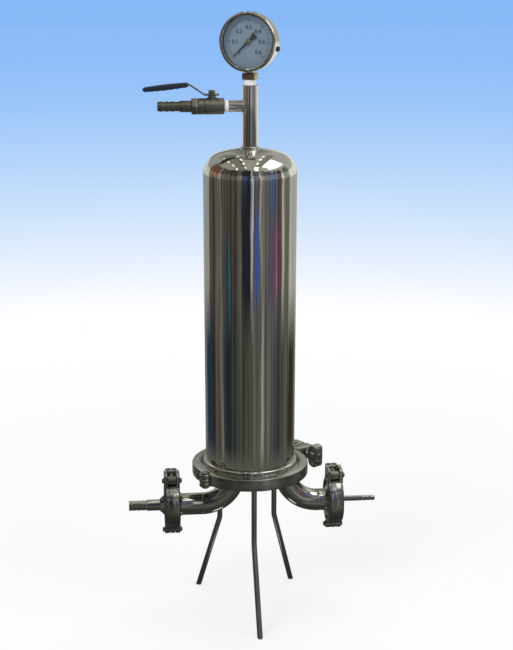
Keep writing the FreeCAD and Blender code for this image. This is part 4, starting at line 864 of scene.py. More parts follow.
def port_elbow(name, straight):
    """Flanged tube and elbow. Z points out of the flange and X up."""
    s = sizes()
    outer = s.tube_od / 2
    inner = outer - s.tube_wall
    flange, neck, rim, back = port_flange()
    tube = lathe(name, [
        (inner, 0), (flange - 0.35, 0), (flange, -0.35), (flange, -rim), (neck, -back),
        (neck - 1.15, -back - 1.2), (outer + 1.2, -9.0), (outer + 0.3, -9.9), (outer, -11.2),
        (outer, -straight), (inner, -straight)], 72, closed=True)
    deselect()
    bpy.ops.mesh.primitive_circle_add(vertices=72, radius=outer * MM, fill_type="NGON",
                                      location=(0, 0, -straight * MM))
    bend = added("bend")
    edit_all(bend)
    bpy.ops.mesh.inset(thickness=s.tube_wall * MM)
    bpy.ops.mesh.delete(type="FACE")
    bpy.ops.mesh.select_all(action="SELECT")
    bpy.ops.mesh.spin(steps=28, angle=math.radians(90), axis=(0, 1, 0),
                      center=(s.elbow * MM, 0, -straight * MM))
    tidy_mesh(bend)
    seam = weld_bead("seam", outer - 0.25, 0.9, 40, 0.06)
    move(seam, (0, 0, -straight - 0.3))
    return join(tube, bend, seam)


def outlet_tail():
    """Cone and thick hose tail with four barbs."""
    flange, neck, rim, back = port_flange()
    bore, tube, end, barbs, pitch = 4, 6.5, 49, 28, 5.2
    outline = [(bore, 0), (flange, 0), (flange, rim), (neck, back), (11.2, 9.0), (10.4, 9.6),
               (7.4, 13.0), (tube, 13.5), (tube, barbs)]
    for step in range(4):
        start = barbs + pitch * step
        outline += [(5.45, start + 1.0), (5.9, start + pitch)]
    return outline + [(5.5, end - 0.4), (5.2, end), (bore, end)]


def inlet_tail():
    """Disc and thin hose tail with three grooves near its end."""
    flange, neck, rim, back = port_flange()
    bore, tube, end = 1.8, 3.15, 48
    outline = [(bore, 0), (flange, 0), (flange, rim), (neck, back), (neck, 5.9),
               (neck - 0.5, 6.4), (3.9, 6.4), (3.4, 6.7), (tube, 7.2), (tube, 32.6)]
    for step in range(3):
        start = 34.8 + 4.4 * step
        outline += [(2.75, start - 1.5), (2.7, start - 0.7), (tube, start)]
        outline += [(tube, start + 2.1)] if step < 2 else []
    return outline + [(3.0, end - 0.3), (2.7, end), (bore, end)]


class FILTER_OT_ports(bpy.types.Operator):
    """Models the two flanged elbows and the two hose tails"""

    bl_idname = "filter.ports"
    bl_label = "Ports"

    def execute(self, context):
        axis = port_axis()
        for side, foot in ELBOW_FEET.items():
            face = port_face(side, -1)
            elbow = port_elbow(side + "_bend", abs(face - foot) - sizes().elbow)
            dress(elbow, side + "_elbow", (face, 0, axis), PORT_TURNS[side])
        for side, outline, count in (("outlet", outlet_tail(), 64), ("inlet", inlet_tail(), 48)):
            tail = lathe(side + "_tail", outline, count, closed=True)
            dress(tail, side + "_hose_tail", (port_face(side, 1), 0, axis), PORT_TURNS[side])
        return {"FINISHED"}


# Clamps
class ClampSizes:
    """One clamp's sizes in its own frame: hinge at -X, closing side at +X."""

    def __init__(self, **values):
        vars(self).update(values)
        self.half = self.width / 2
        self.third = self.width / 6
        self.pin = self.knuckle * 0.42


BODY = ClampSizes(outer=66.5, width=15, lip=56.5, groove=60, groove_half=3.8, waist=0.6,
                  chamfer=1.4, hinge=68, knuckle=6.5, bolt_x=80.5, ear_end=90, ear=16, pivot=9,
                  seat=14, bolt=8, pitch=1.25, slot=9.2, nut_length=17, nut_span=27, count=144)
PORT = ClampSizes(outer=28.5, width=18, lip=22.75, groove=25.75, groove_half=3.0, waist=0.8,
                  chamfer=2.2, hinge=30.8, knuckle=4.6, bolt_x=32, ear_end=39.5, ear=13, pivot=7,
                  seat=10, bolt=6, pitch=1.0, slot=10.6, nut_length=12, nut_span=14, count=96)
# Direction of the body clamp's closing side in degrees
BODY_CLAMP_TURN = 37
# Half the gap between a clamp's halves, the play of its parts, and its washer
SPLIT = 1.2
PLAY = 0.3
WASHER_GAP = 0.2
WASHER_THICK = 1.6


def clamp_section(c):
    """Closed section of a clamp ring, narrower towards its outside by its waist."""
    lip_half = c.groove_half + slope(c.groove - c.lip)
    edge = c.half - c.waist
    lower_face = [
        (c.lip, -edge - c.waist * 0.6), (c.lip + 0.8, -edge - c.waist),
        (c.lip + (c.outer - c.lip) * 0.45, -edge - c.waist * 0.8), (c.outer - c.chamfer, -edge),
        (c.outer - 0.3 * c.chamfer, -edge + 0.35 * c.chamfer),
        (c.outer, -edge + 1.1 * c.chamfer)]
    return [(c.lip, lip_half), (c.groove, c.groove_half), (c.groove, -c.groove_half),
            (c.lip, -lip_half), *mirrored(lower_face)]


def clamp_half(name, c, side):
    """Half a ring with its ear and knuckles: the pivot side is 1, the seat side -1."""
    ring = lathe(name, clamp_section(c), c.count, closed=True)
    slice_off(ring, (0, side * SPLIT, 0), (0, -side, 0))
    add_knuckles(ring, c, side)
    beyond = 5
    if side > 0:
        outline = pivot_ear_outline(c)
        low = (c.bolt_x - 0.8 * c.bolt - PLAY, -beyond, -c.slot / 2)
        high = (c.ear_end + beyond, c.ear + beyond, c.slot / 2)
    else:
        outline = seat_ear_outline(c)
        low = (c.bolt_x - c.bolt / 2 - 1.2, -c.seat - beyond, -c.slot / 2)
        high = (c.ear_end + beyond, beyond, c.slot / 2)
    ear = plate("ear", outline, -c.half, c.half, 0.8)
    carve(ear, block("gap", low, high))
    return join(ring, ear)


def pivot_ear_outline(c):
    round_end = 3
    corner = arc(c.ear_end - round_end, c.ear - round_end, round_end, 0, 90, 5)
    root = math.sqrt(c.outer ** 2 - c.ear ** 2) - SPLIT
    return [((c.groove + c.outer) / 2, SPLIT), (c.ear_end, SPLIT), *corner, (root, c.ear)]


def seat_ear_outline(c):
    """Its seat is rounded about the swing bolt's pin."""
    reach = c.pivot + c.seat
    root = math.sqrt(c.outer ** 2 - c.seat ** 2)
    start = -math.degrees(math.acos((c.ear_end - c.bolt_x) / reach))
    stop = -math.degrees(math.acos((root - c.bolt_x) / reach))
    seat = arc(c.bolt_x, c.pivot, reach, start, stop, 10)
    return [((c.groove + c.outer) / 2, -SPLIT), (c.ear_end, -SPLIT), *seat]


def back_ridge(c):
    """Ridge that runs from a port clamp's pivot ear down its back to a point."""
    inner, crest, foot, top = c.groove + 0.6, c.outer + 1.6, -5, c.outer - 2.9
    ridge = lathe("ridge", [(inner, -c.half), (crest, -c.half), (crest, c.half),
                            (inner, c.half)], closed=True)
    slice_off(ridge, (0, SPLIT, 0), (0, -1, 0))
    slice_off(ridge, (foot, 0, 0), (-1, 0, 0))
    slice_off(ridge, (top, 0, 0), (1, 0, 0))
    point_half, lean = 1.2, math.atan2(0.135, 0.991)
    for side in (1, -1):
        slice_off(ridge, (foot, 0, side * point_half), (-math.sin(lean), 0, side * math.cos(lean)))
    bevel(ridge, 0.6, 3)
    return ridge


def add_knuckles(ring, c, side):
    """Hinge barrels: the tongue in the middle, or the lugs above and below it."""
    if side > 0:
        stacks = [(PLAY - c.third, c.third - PLAY)]
        cleared = [(c.third - PLAY, c.half + 1), (-c.half - 1, PLAY - c.third)]
    else:
        stacks = [(c.third, c.half), (-c.half, -c.third)]
        cleared = [(-c.third, c.third)]
    for low, high in cleared:
        tool = rod("tool", c.knuckle + PLAY, low, high, 0.01, 40)
        carve(ring, move(tool, (-c.hinge, 0, 0)))
    for low, high in stacks:
        barrel = rod("barrel", c.knuckle, low, high, 0.6, 40)
        join(ring, move(barrel, (-c.hinge, 0, 0)))


def headed_pin(name, c, x, y):
    """A pin with a domed head at each end."""
    reach = c.half + PLAY
    head = 1.6 * c.pin
    pin = lathe(name, mirrored([
        (0, -reach - 2.2), (head * 0.5, -reach - 2.1), (head * 0.85, -reach - 1.6),
        (head, -reach - 0.9), (head, -reach), (c.pin, -reach)]), 32)
    return move(pin, (x, y, 0))


def nut_start(c):
    """Closing face to the nut, over the seat and the washer."""
    return c.seat + WASHER_GAP + WASHER_THICK + 0.1


def swing_bolt(name, c):
    """Eye on the pivot pin, and a shank whose thread shows as rings."""
    width, eye_radius, shank_radius = c.slot / 2 - PLAY, 0.8 * c.bolt, c.bolt / 2
    eye = lathe(name, mirrored([(c.pin + 0.05, -width), (eye_radius - 0.5, -width),
                                (eye_radius, -width + 0.5)]), 40, closed=True)
    move(eye, (c.bolt_x, c.pivot, 0))
    length = c.pivot + nut_start(c) + c.nut_length + 1.2
    at = length * 0.45
    outline = [(0, shank_radius), (shank_radius, shank_radius), (shank_radius, at)]
    while at + c.pitch < length - 0.8:
        outline += [(shank_radius - 0.5 * c.pitch, at + c.pitch * 0.5),
                    (shank_radius, at + c.pitch)]
        at += c.pitch
    shank = lathe("shank", outline + [(shank_radius - 0.8, length), (0, length)], 24)
    return join(eye, move(shank, (c.bolt_x, c.pivot, 0), FORWARD))


def nut_washer(name, c):
    bore, edge = c.bolt / 2 + 0.05, 0.2
    outer = 0.85 * c.bolt
    washer = lathe(name, [(bore, 0), (outer - edge, 0), (outer, edge),
                          (outer, WASHER_THICK - edge), (outer - edge, WASHER_THICK),
                          (bore, WASHER_THICK)], 32, closed=True)
    return move(washer, (c.bolt_x, -c.seat - WASHER_GAP, 0), FORWARD)


# One side of the wings, as shares of the nut's length and of half its span
WING = ((0.18, 0.42), (0.24, 0.70), (0.36, 0.90), (0.52, 0.99), (0.74, 1.0), (0.90, 0.92),
        (0.98, 0.76), (1.0, 0.50))


def wing_nut(name, c):
    """Hub with two flat wings, each with a round recess in both faces."""
    at = (c.bolt_x, -nut_start(c), 0)
    length, half, thick, bore = c.nut_length, c.nut_span / 2, 1.4 * c.bolt, c.bolt / 2 + 0.05
    hub = lathe(name, [
        (bore, 0), (0.825 * c.bolt - 0.5, 0), (0.825 * c.bolt, 0.5),
        (0.70 * c.bolt, 0.3 * length), (0.66 * c.bolt, length - 0.5), (0.60 * c.bolt, length),
        (bore, length)], 32, closed=True)
    move(hub, at, FORWARD)
    outline = mirrored([(along * length, across * half) for along, across in WING])
    wings = plate("wings", outline, -thick / 2, thick / 2, 0.08 * thick)
    for side in (1, -1):
        for low in (0.20 * thick, -1.20 * thick):
            recess = rod("recess", 0.36 * half, 0, thick, 0.02)
            carve(wings, move(recess, (0.58 * length, side * 0.52 * half, low)))
    hole = rod("hole", bore, -1, length + 1, 0.01, 24)
    carve(wings, move(hole, turn=spun("Y", 90)))
    return join(hub, move(wings, at, SIDEWAYS))


def make_clamp(name, c, seat_side, pivot_side, at, turn):
    for side, word in ((-1, seat_side), (1, pivot_side)):
        piece = clamp_half(f"{name}_{word}", c, side)
        if c is PORT and side > 0:
            join(piece, back_ridge(c))
        dress(piece, f"{name}_{word}_half", at, turn, "port_cast" if c is PORT else "cast")
    pins = headed_pin(name + "_pin_pair", c, -c.hinge, 0)
    join(pins, headed_pin("second", c, c.bolt_x, c.pivot))
    dress(pins, name + "_pins", at, turn)
    dress(swing_bolt(name + "_bolt", c), name + "_swing_bolt", at, turn)
    dress(nut_washer(name + "_ring", c), name + "_washer", at, turn)
    dress(wing_nut(name + "_nut", c), name + "_wing_nut", at, turn)


class FILTER_OT_body_clamp(bpy.types.Operator):
    """Models the large clamp that holds the bell on the base"""

    bl_idname = "filter.body_clamp"
    bl_label = "Body clamp"

    def execute(self, context):
        make_clamp("body_clamp", BODY, "front", "rear", (0, 0, sizes().joint),
                   spun("Z", BODY_CLAMP_TURN))
        return {"FINISHED"}


class FILTER_OT_port_clamps(bpy.types.Operator):
    """Models the two small clamps on the ports"""

    bl_idname = "filter.port_clamps"
    bl_label = "Port clamps"

    def execute(self, context):
        for side, x in PORT_CLAMPS.items():
            make_clamp(side + "_clamp", PORT, "rear", "front", (x, 0, port_axis()), INLET)
        return {"FINISHED"}


# Valve. Z of its frame points away from the stem and X points up. It starts at VALVE_X.
VALVE_X = -27.5
SPINDLE_PLACE = 12.9
LEVER_LOW = 11.2
LEVER_THICK = 1.6
LEVER_KNEE = (LEVER_LOW + 10.5, 36.9)
STRAP_HALF = 4.5
GRIP_LENGTH = 49.3
COLLAR_END = 34.9


def valve_at():
    return (VALVE_X, 0, dome_top() + sizes().branch_height)


def on_spindle(piece):
    """A piece turned upright on the spindle's axis."""
    return move(piece, (0, 0, SPINDLE_PLACE), UPRIGHT)


def valve_barrel():
    body = lathe("valve_barrel", [
        (5.3, 0), (7.7, 0), (8.5, 0.8), (8.5, 20.9), (8.1, 21.4), (6.7, 21.4), (6.7, 6.1),
        (5.3, 6.1)], 64, closed=True)
    return join(body, on_spindle(rod("boss", 5.3, 6, 9.4, 0.5, 40)))


def valve_cap():
    cap = lathe("valve_cap", [
        (3, 19.9), (6.6, 19.9), (6.6, 21.6), (8.1, 21.6), (8.5, 22.1), (8.5, 27.5), (7.7, 28.4),
        (7.7, 28.6), (3, 28.6)], 64, closed=True)
    return join(cap, prism("collar", 16.2, 28.5, COLLAR_END, 0.5))


def lever_strap():
    """Flat strap, bent up to the grip, with a hole for the spindle at its foot."""
    strap = block("lever_strap", (LEVER_LOW, -STRAP_HALF, 5.4),
                  (LEVER_LOW + LEVER_THICK, STRAP_HALF, 21.4))
    carve(strap, on_spindle(rod("pivot", 2.05, LEVER_LOW - 1, LEVER_LOW + 3, 0.01, 24)))
    bevel(strap, 0.4, 2)
    rise = strap_run("rise", (LEVER_LOW, 21.0), LEVER_KNEE)
    run = strap_run("run", (LEVER_LOW + 10.4, 36.4), (LEVER_LOW + 5.3, 80))
    return join(strap, rise, run)


def strap_run(name, start, end):
    """A strap between two points of the plane of X and Z."""
    up, along = end[0] - start[0], end[1] - start[1]
    piece = block(name, (0, -STRAP_HALF, 0), (LEVER_THICK, STRAP_HALF, math.hypot(up, along)),
                  0.4)
    return move(piece, (start[0], 0, start[1]), spun("Y", math.degrees(math.atan2(up, along))))


def vinyl_grip():
    """Dipped sleeve with soft, slightly wavy faces and rounded ends."""
    half_thick, half_width, middle = 2.8, 5.8, 0.8
    sleeve = block("vinyl_sleeve", (middle - half_thick, -half_width, 0),
                   (middle + half_thick, half_width, GRIP_LENGTH))
    edit_all(sleeve)
    bpy.ops.mesh.subdivide(number_cuts=19)
    deselect()
    for vertex in sleeve.data.vertices:
        x, y, along = vertex.co.x / MM - middle, vertex.co.y / MM, vertex.co.z / MM
        corner = max(abs(x) / half_thick, abs(y) / half_width)
        if corner > 0:
            spread = corner / (abs(x / half_thick) ** 4 + abs(y / half_width) ** 4) ** 0.25
            x, y = x * spread, y * spread
        to_end = min(along, GRIP_LENGTH - along)
        swell = math.sqrt(1 - 0.82 * max(1 - to_end / 3.5, 0) ** 2)
        swell *= 1 - 0.10 * math.cos(along / GRIP_LENGTH * 2 * math.pi)
        wave = 0.22 * math.sin(along * 0.9) if x < 0 else 0
        vertex.co.x = (middle + x * swell + wave) * MM
        vertex.co.y = y * swell * MM
    lean = math.degrees(math.atan2(-5.2, 49))
    up, along = LEVER_KNEE
    return move(sleeve, (up, 0, along), spun("Y", lean))


def ringed_tail():
    """Hose tail of the vent, with three sharp rings near its tip."""
    bore, start = 2.7, 28.9
    tip = COLLAR_END + 36
    outline = [(bore, start), (5.0, start), (5.0, COLLAR_END), (5.7, COLLAR_END),
               (6.1, COLLAR_END + 0.4), (6.1, tip - 24.8), (5.0, tip - 22.3)]
    for step in range(3):
        ring = tip - (3 - step) * 6.2
        outline += [(5.0, ring + 0.6), (5.5, ring + 1.0), (5.5, ring + 1.9), (4.9, ring + 5.6)]
    return lathe("ringed_tail", outline + [(4.8, tip - 0.2), (4.5, tip), (bore, tip)], 48,
                 closed=True)


class FILTER_OT_valve(bpy.types.Operator):
    """Models the vent valve's body, cap, spindle, lever and hose tail"""

    bl_idname = "filter.valve"
    bl_label = "Valve"

    def execute(self, context):
        at = valve_at()
        dress(valve_barrel(), "valve_body", at, OUTLET)
        dress(valve_cap(), "valve_end_cap", at, OUTLET)
        dress(on_spindle(prism("packing_nut", 7.4, 9.4, 10.9)), "gland_nut", at, OUTLET)
        dress(on_spindle(prism("top_nut", 6.6, 12.8, 16.6)), "lever_nut", at, OUTLET)
        dress(on_spindle(rod("spindle", 2, 5.9, 16.7, 0.4, 24)), "valve_spindle", at, OUTLET)
        dress(lever_strap(), "valve_lever", at, OUTLET)
        dress(vinyl_grip(), "lever_grip", at, OUTLET, angle=60)
        dress(ringed_tail(), "vent_hose_tail", at, OUTLET, "hardware")
        return {"FINISHED"}


# Gauge. Z of its frame points out of the dial and Y points up.
GAUGE_TURN = spun("Z", -22) @ spun("X", 90)
STEM_TO_DIAL = 44.6
DIAL_FACE = 5.45
# Degrees: where the scale starts, how far it runs, and the pointer at rest
SCALE_START = 225
SCALE_SWEEP = 270
POINTER_TURN = -138


def gauge_at():
    return (0, 0, stem_top() + STEM_TO_DIAL)


def gauge_can():
    return lathe("gauge_can", [
        (0, -12), (27.4, -12), *arc(27.4, -10.4, 1.6, -90, 0, 5), (29, 8.8), (27.8, 8.8),
        (27.8, -10.8), (0, -10.8)])


def gauge_ring():
    return lathe("gauge_ring", [
        (29.1, 4.8), (30.3, 4.8), *arc(29.7, 5.4, 1.0, -60, 0, 3), (30.7, 10.4),
        *arc(28.6, 10.4, 2.1, 0, 90, 8), (27.9, 12.4), (27.0, 11.9), (27.0, 11.0),
        (29.1, 11.0)], 128, closed=True)


def dial_marks():
    """Scale of marks and numbers over three quarters of a turn."""
    marks = []
    steps, tenths, circle = 60, 6, 14.6
    for step in range(steps + 1):
        whole, half = step % 10 == 0, step % 5 == 0
        inner = 19.2 if whole else (20.4 if half else 21.4)
        width = 0.6 if whole else 0.34
        mark = block("mark", (inner, -width / 2, DIAL_FACE), (23.4, width / 2, DIAL_FACE + 0.06))
        marks.append(move(mark, turn=spun("Z", SCALE_START - SCALE_SWEEP * step / steps)))
    for step in range(tenths + 1):
        angle = math.radians(SCALE_START - SCALE_SWEEP * step / tenths)
        deselect()
        bpy.ops.object.text_add()
        number = bpy.context.object
        number.data.body = "0" if step == 0 else f"0.{step}"
        number.data.size = 5.6 * MM
        number.data.align_x = "CENTER"
        number.data.align_y = "CENTER"
        number.data.extrude = 0.03 * MM
        number.data.offset = 0.12 * MM
        number.data.resolution_u = 3
        number.select_set(True)
        bpy.ops.object.convert(target="MESH")
        marks.append(move(number, (circle * math.cos(angle), circle * math.sin(angle),
                                   DIAL_FACE + 0.03)))
    return join(*marks)


def black_pointer():
    """Tapered needle with a triangular tail and a round eye."""
    low, high = 7.0, 7.5
    outline = mirrored([(22, 0.3), (0, 1.25), (-2.5, 1.1), (-10.5, 3.5)])
    return join(plate("needle", outline, low, high), rod("eye", 2.9, low, high, 0.1))


def gauge_stem():
    """Square block with its thread below and its neck above. Y is up."""
    square = block("gauge_stem", (-7, -38.6, -7), (7, -31.6, 7), 0.9)
    crest, pitch, at, end = 5.2, 1.4, STEM_TO_DIAL, 53.6
    outline = [(0, 17.2), (4.2, 17.2), (4.2, 38.4), (crest, 38.4), (crest, at)]
    while at < end - 0.6:
        outline += [(crest - 0.5, at + pitch / 2), (crest, at + pitch)]
        at += pitch
    neck = lathe("neck", outline + [(4.6, end), (0, end)], 40)
    return join(square, move(neck, turn=FORWARD))


def vent_plug():
    """Rubber plug in the side of the case, a little below its middle."""
    plug = lathe("rubber_plug", [(0, 0), (2.8, 0), (2.8, 1.6), (2.3, 2.6), (1.5, 3), (0, 3)], 32)
    turn, case = -14, 29.3
    place = (case * math.cos(math.radians(turn)), case * math.sin(math.radians(turn)), -3.8)
    return move(plug, place, spun("Z", turn) @ spun("Y", 90))


class FILTER_OT_gauge(bpy.types.Operator):
    """Models the pressure gauge with its bezel, dial, pointer and socket"""

    bl_idname = "filter.gauge"
    bl_label = "Gauge"

    def execute(self, context):
        at = gauge_at()
        dress(gauge_can(), "gauge_case", at, GAUGE_TURN)
        dress(gauge_ring(), "gauge_bezel", at, GAUGE_TURN)
        window = lathe("gauge_glass", [(0, 9.1), (28.6, 9.1), (28.6, 10.7), (0, 10.7)])
        dress(window, "gauge_window", at, GAUGE_TURN)
        dial = lathe("dial_plate", [(1.2, 4.8), (27.3, 4.8), (27.3, 5.4), (1.2, 5.4)],
                     closed=True)
        dress(dial, "gauge_dial", at, GAUGE_TURN)
        add_on(dial_marks(), "gauge_dial", at, GAUGE_TURN, "pointer")
        dress(black_pointer(), "gauge_pointer", at, GAUGE_TURN @ spun("Z", POINTER_TURN))
        hub = lathe("pointer_hub", [(0, 7.5), (2.3, 7.5), (2.3, 7.8), (1.7, 8.2), (0, 8.3)], 32)
        add_on(hub, "pointer_arbor", at, GAUGE_TURN, "brass")
        dress(gauge_stem(), "gauge_socket", at, GAUGE_TURN)
        dress(vent_plug(), "gauge_vent_plug", at, GAUGE_TURN)
        return {"FINISHED"}


def wound_outline(width):
    """Section of wound tape, with a slight ridge at each turn."""
    bore, under, turns = 5.3, 6.0, 5
    outline = [(bore, 0), (under, 0)]
    for step in range(turns):
        start, odd = width * step / turns, step % 2
        outline += [(6.2 + 0.12 * odd, start + 0.1 * width / turns),
                    (6.42 - 0.1 * odd, start + 0.8 * width / turns)]
    return outline + [(under, width), (bore, width)]


class FILTER_OT_tapes(bpy.types.Operator):
    """Models the white tape wound on the two threads"""

    bl_idname = "filter.tapes"
    bl_label = "Thread tapes"

    def execute(self, context):
        upper_width, lower_width = 6.0, 4.2
        upper = lathe("wound_tape", wound_outline(upper_width), 48, closed=True)
        move(upper, (0, 0, stem_top()))
        lower = lathe("branch_tape", wound_outline(lower_width), 48, closed=True)
        x, y, z = valve_at()
        move(lower, (x + lower_width, y, z), OUTLET)
        dress(join(upper, lower), "thread_tapes")
        return {"FINISHED"}


# Stage
CAMERA_AZIMUTH = -5.4
CAMERA_PITCH = 17.05
CAMERA_DISTANCE = 1400
CAMERA_HEIGHT = 686.3
# Pixels of the picture: its height, focal length, and its middle right of and above the axis
PICTURE_HEIGHT = 650
FOCAL_LENGTH = 1291
SHIFT_X = 6.5
SHIFT_Y = 67
SENSOR = 36

# Lamps: name, power, side of the square, place
LAMPS = (("key", 26, 1.2, (-1.3, -1.2, 1.9)), ("fill", 14, 1.4, (1.6, -0.9, 1.5)),
         ("top", 12, 1.0, (0.2, 0.6, 2.3)))
LAMP_TARGET = (0, 0, 0.3)

# Painted reflections: streaks of a glowing card that the polished steel mirrors, as (share of a
# turn, colour): behind the part at 0 and 1, at the viewer's left at 0.25, the viewer at 0.5, the
# right at 0.75
REFLECTION_HIGH = (
    (0.000, (0.10, 0.10, 0.09)), (0.025, (0.36, 0.37, 0.34)), (0.172, (0.34, 0.35, 0.32)),
    (0.186, (0.07, 0.07, 0.05)), (0.215, (0.11, 0.09, 0.07)), (0.245, (0.05, 0.045, 0.04)),
    (0.265, (0.15, 0.13, 0.11)), (0.286, (0.06, 0.055, 0.05)), (0.295, (0.34, 0.33, 0.29)),
    (0.305, (0.07, 0.065, 0.06)), (0.345, (0.09, 0.09, 0.08)), (0.365, (0.045, 0.04, 0.04)),
    (0.385, (0.07, 0.05, 0.04)), (0.400, (0.03, 0.025, 0.02)), (0.418, (0.11, 0.11, 0.09)),
    (0.440, (0.08, 0.075, 0.06)), (0.452, (0.02, 0.024, 0.03)), (0.503, (0.018, 0.02, 0.03)),
    (0.512, (0.40, 0.40, 0.42)), (0.524, (0.11, 0.11, 0.15)), (0.560, (0.10, 0.095, 0.09)),
    (0.595, (0.16, 0.15, 0.13)), (0.620, (0.07, 0.08, 0.10)), (0.665, (0.10, 0.11, 0.14)),
    (0.705, (0.08, 0.05, 0.04)), (0.722, (0.09, 0.07, 0.06)), (0.732, (0.50, 0.49, 0.44)),
    (0.748, (0.13, 0.14, 0.11)), (0.785, (0.10, 0.11, 0.09)), (0.812, (0.46, 0.47, 0.42)),
    (0.975, (0.42, 0.42, 0.38)), (1.000, (0.10, 0.10, 0.09)),
)
REFLECTION_LOW = (
    (0.000, (0.10, 0.10, 0.09)), (0.030, (0.30, 0.30, 0.27)), (0.110, (0.22, 0.22, 0.20)),
    (0.135, (0.05, 0.06, 0.08)), (0.185, (0.03, 0.05, 0.09)), (0.225, (0.04, 0.035, 0.03)),
    (0.255, (0.15, 0.12, 0.10)), (0.275, (0.05, 0.05, 0.04)), (0.300, (0.28, 0.27, 0.24)),
    (0.315, (0.05, 0.06, 0.06)), (0.370, (0.035, 0.045, 0.05)), (0.410, (0.07, 0.075, 0.06)),
    (0.480, (0.10, 0.105, 0.085)), (0.540, (0.14, 0.145, 0.125)), (0.572, (0.12, 0.12, 0.10)),
    (0.585, (0.42, 0.42, 0.38)), (0.600, (0.13, 0.13, 0.12)), (0.640, (0.16, 0.165, 0.15)),
    (0.675, (0.07, 0.075, 0.08)), (0.740, (0.08, 0.085, 0.085)), (0.775, (0.15, 0.15, 0.12)),
    (0.815, (0.04, 0.035, 0.025)), (0.880, (0.07, 0.06, 0.045)), (0.912, (0.25, 0.25, 0.23)),
    (0.970, (0.28, 0.28, 0.25)), (1.000, (0.10, 0.10, 0.09)),
)
# Painted reflections: coloured patches on the card's wall, and two pale ones that paint highlight
# streaks on the shell and on a port clamp's ridge: share of a turn, half width, low and high,
# colour
PAINTED_REFLECTION_PATCHES = (
    (0.545, 0.008, 0.28, 0.41, (0.045, 0.12, 0.45)),
    (0.528, 0.004, 0.28, 0.37, (0.24, 0.05, 0.04)),
    (0.678, 0.004, 0.28, 0.39, (0.28, 0.085, 0.17)),
    (0.350, 0.013, 0.22, 0.36, (0.035, 0.105, 0.14)),
    (0.222, 0.020, 0.50, 0.84, (0.20, 0.09, 0.045)),
    (0.160, 0.020, 0.04, 0.19, (0.02, 0.055, 0.11)),
    (0.655, 0.020, 0.40, 0.62, (0.07, 0.10, 0.17)),
    (0.712, 0.009, 0.42, 0.60, (0.12, 0.06, 0.04)),
    (0.270, 0.014, 0.50, 0.74, (0.13, 0.09, 0.06)),
    (0.470, 0.009, 0.44, 0.60, (0.03, 0.045, 0.09)),
    (0.652, 0.013, 0.27, 0.40, (0.13, 0.07, 0.11)),
    (0.519, 0.003, 0.30, 0.47, (0.80, 0.80, 0.82)),
    (0.569, 0.005, 0.34, 0.90, (0.55, 0.55, 0.52)),
)
# Painted reflections of the card's ceiling panels, across it, as (place between the left and right
# walls, colour)
CEILING = (
    (0.00, (0.36, 0.35, 0.30)), (0.165, (0.34, 0.33, 0.28)), (0.18, (0.24, 0.23, 0.18)),
    (0.36, (0.22, 0.21, 0.17)), (0.375, (0.07, 0.07, 0.05)), (0.388, (0.07, 0.07, 0.05)),
    (0.400, (0.38, 0.37, 0.32)), (0.60, (0.36, 0.35, 0.30)), (0.625, (0.26, 0.25, 0.21)),
    (0.72, (0.25, 0.24, 0.20)), (0.74, (0.42, 0.42, 0.38)), (1.00, (0.46, 0.46, 0.42)),
)
# Rows of lamp streaks painted on the card's ceiling as highlights: distance to the right of the
# part in metres
HIGHLIGHT_ROWS = (-0.31, -0.10, 0.12)
# Dark foot of the card's wall: a painted dark reflection low on the shell
WALL_FOOT = (0.12, 0.125, 0.105)
# Dark table of the card: painted shade in the undersides of the metal
PAINTED_SHADE_TABLE = (0.035, 0.038, 0.032)
# Dark band of the card: a painted dark reflection
DARK_REFLECTION_BAND = (0.04, 0.04, 0.035)
# White of the bright patches that paint highlights in the metal
HIGHLIGHT_WHITE = (1.0, 1.02, 1.0)


def reflection_wall(room, share, height, upper, low_wall):
    """Painted upright reflection streaks of the card's wall, and the painted coloured patches on
    it.
    """
    wall = room.mix(upper, low_wall, room.ramp(share, REFLECTION_HIGH))
    for middle, half, low, high, shade in PAINTED_REFLECTION_PATCHES:
        reach = (high - low) / 2
        mask = room.band(share, middle, half, half * 0.6)
        mask = mask * room.band(height, low + reach, reach * 0.7, reach * 0.6)
        wall = room.mix(mask * 0.85, wall, shade)
    return wall


def wall_gain(room, share, upper):
    """Fine painted light and dark reflection streaks, stronger on the viewer's side and higher up.
    """
    viewer_side = room.band(share, 0.5, 0.30, 0.03)
    broad = room.spread(room.noise(18, 3, (1, 1, 0.08)), 0.45, 1.6, 0.32, 0.68)
    fine = room.spread(room.noise(80, 2, (1, 1, 0.02)), -0.35, 0.5, 0.32, 0.68)
    streaks = broad * (1 + fine * (0.25 + 0.75 * upper)) - 1
    return (1 + streaks * (viewer_side * 0.85 + 0.1)) * (0.78 + 0.22 * upper)


def highlight_patches(room, right, back, height, above):
    """Bright patches that paint highlights in the metal: rows of lamp streaks and two windows, as
    0 to 1.
    """
    pitch = 0.24
    lamps = 0
    for row in HIGHLIGHT_ROWS:
        dash = room.band(room.math("FRACT", back / pitch + row * 9), 0.5, 0.22, 0.05)
        lamps = room.band(right, row, 0.012, 0.006) * dash + lamps
    # Two window patches: painted highlights
    window = room.band(right, 0.38, 0.13, 0.01) * room.band(back, -0.06, 0.24, 0.02)
    near = room.band(right, 0.15, 0.05, 0.01) * room.band(back, -0.41, 0.07, 0.02)
    window = (window + near * 0.9) * room.spread(height, 0, 1, 0.84, 0.86)
    return room.math("MINIMUM", window + lamps * above * 1.2, 1)


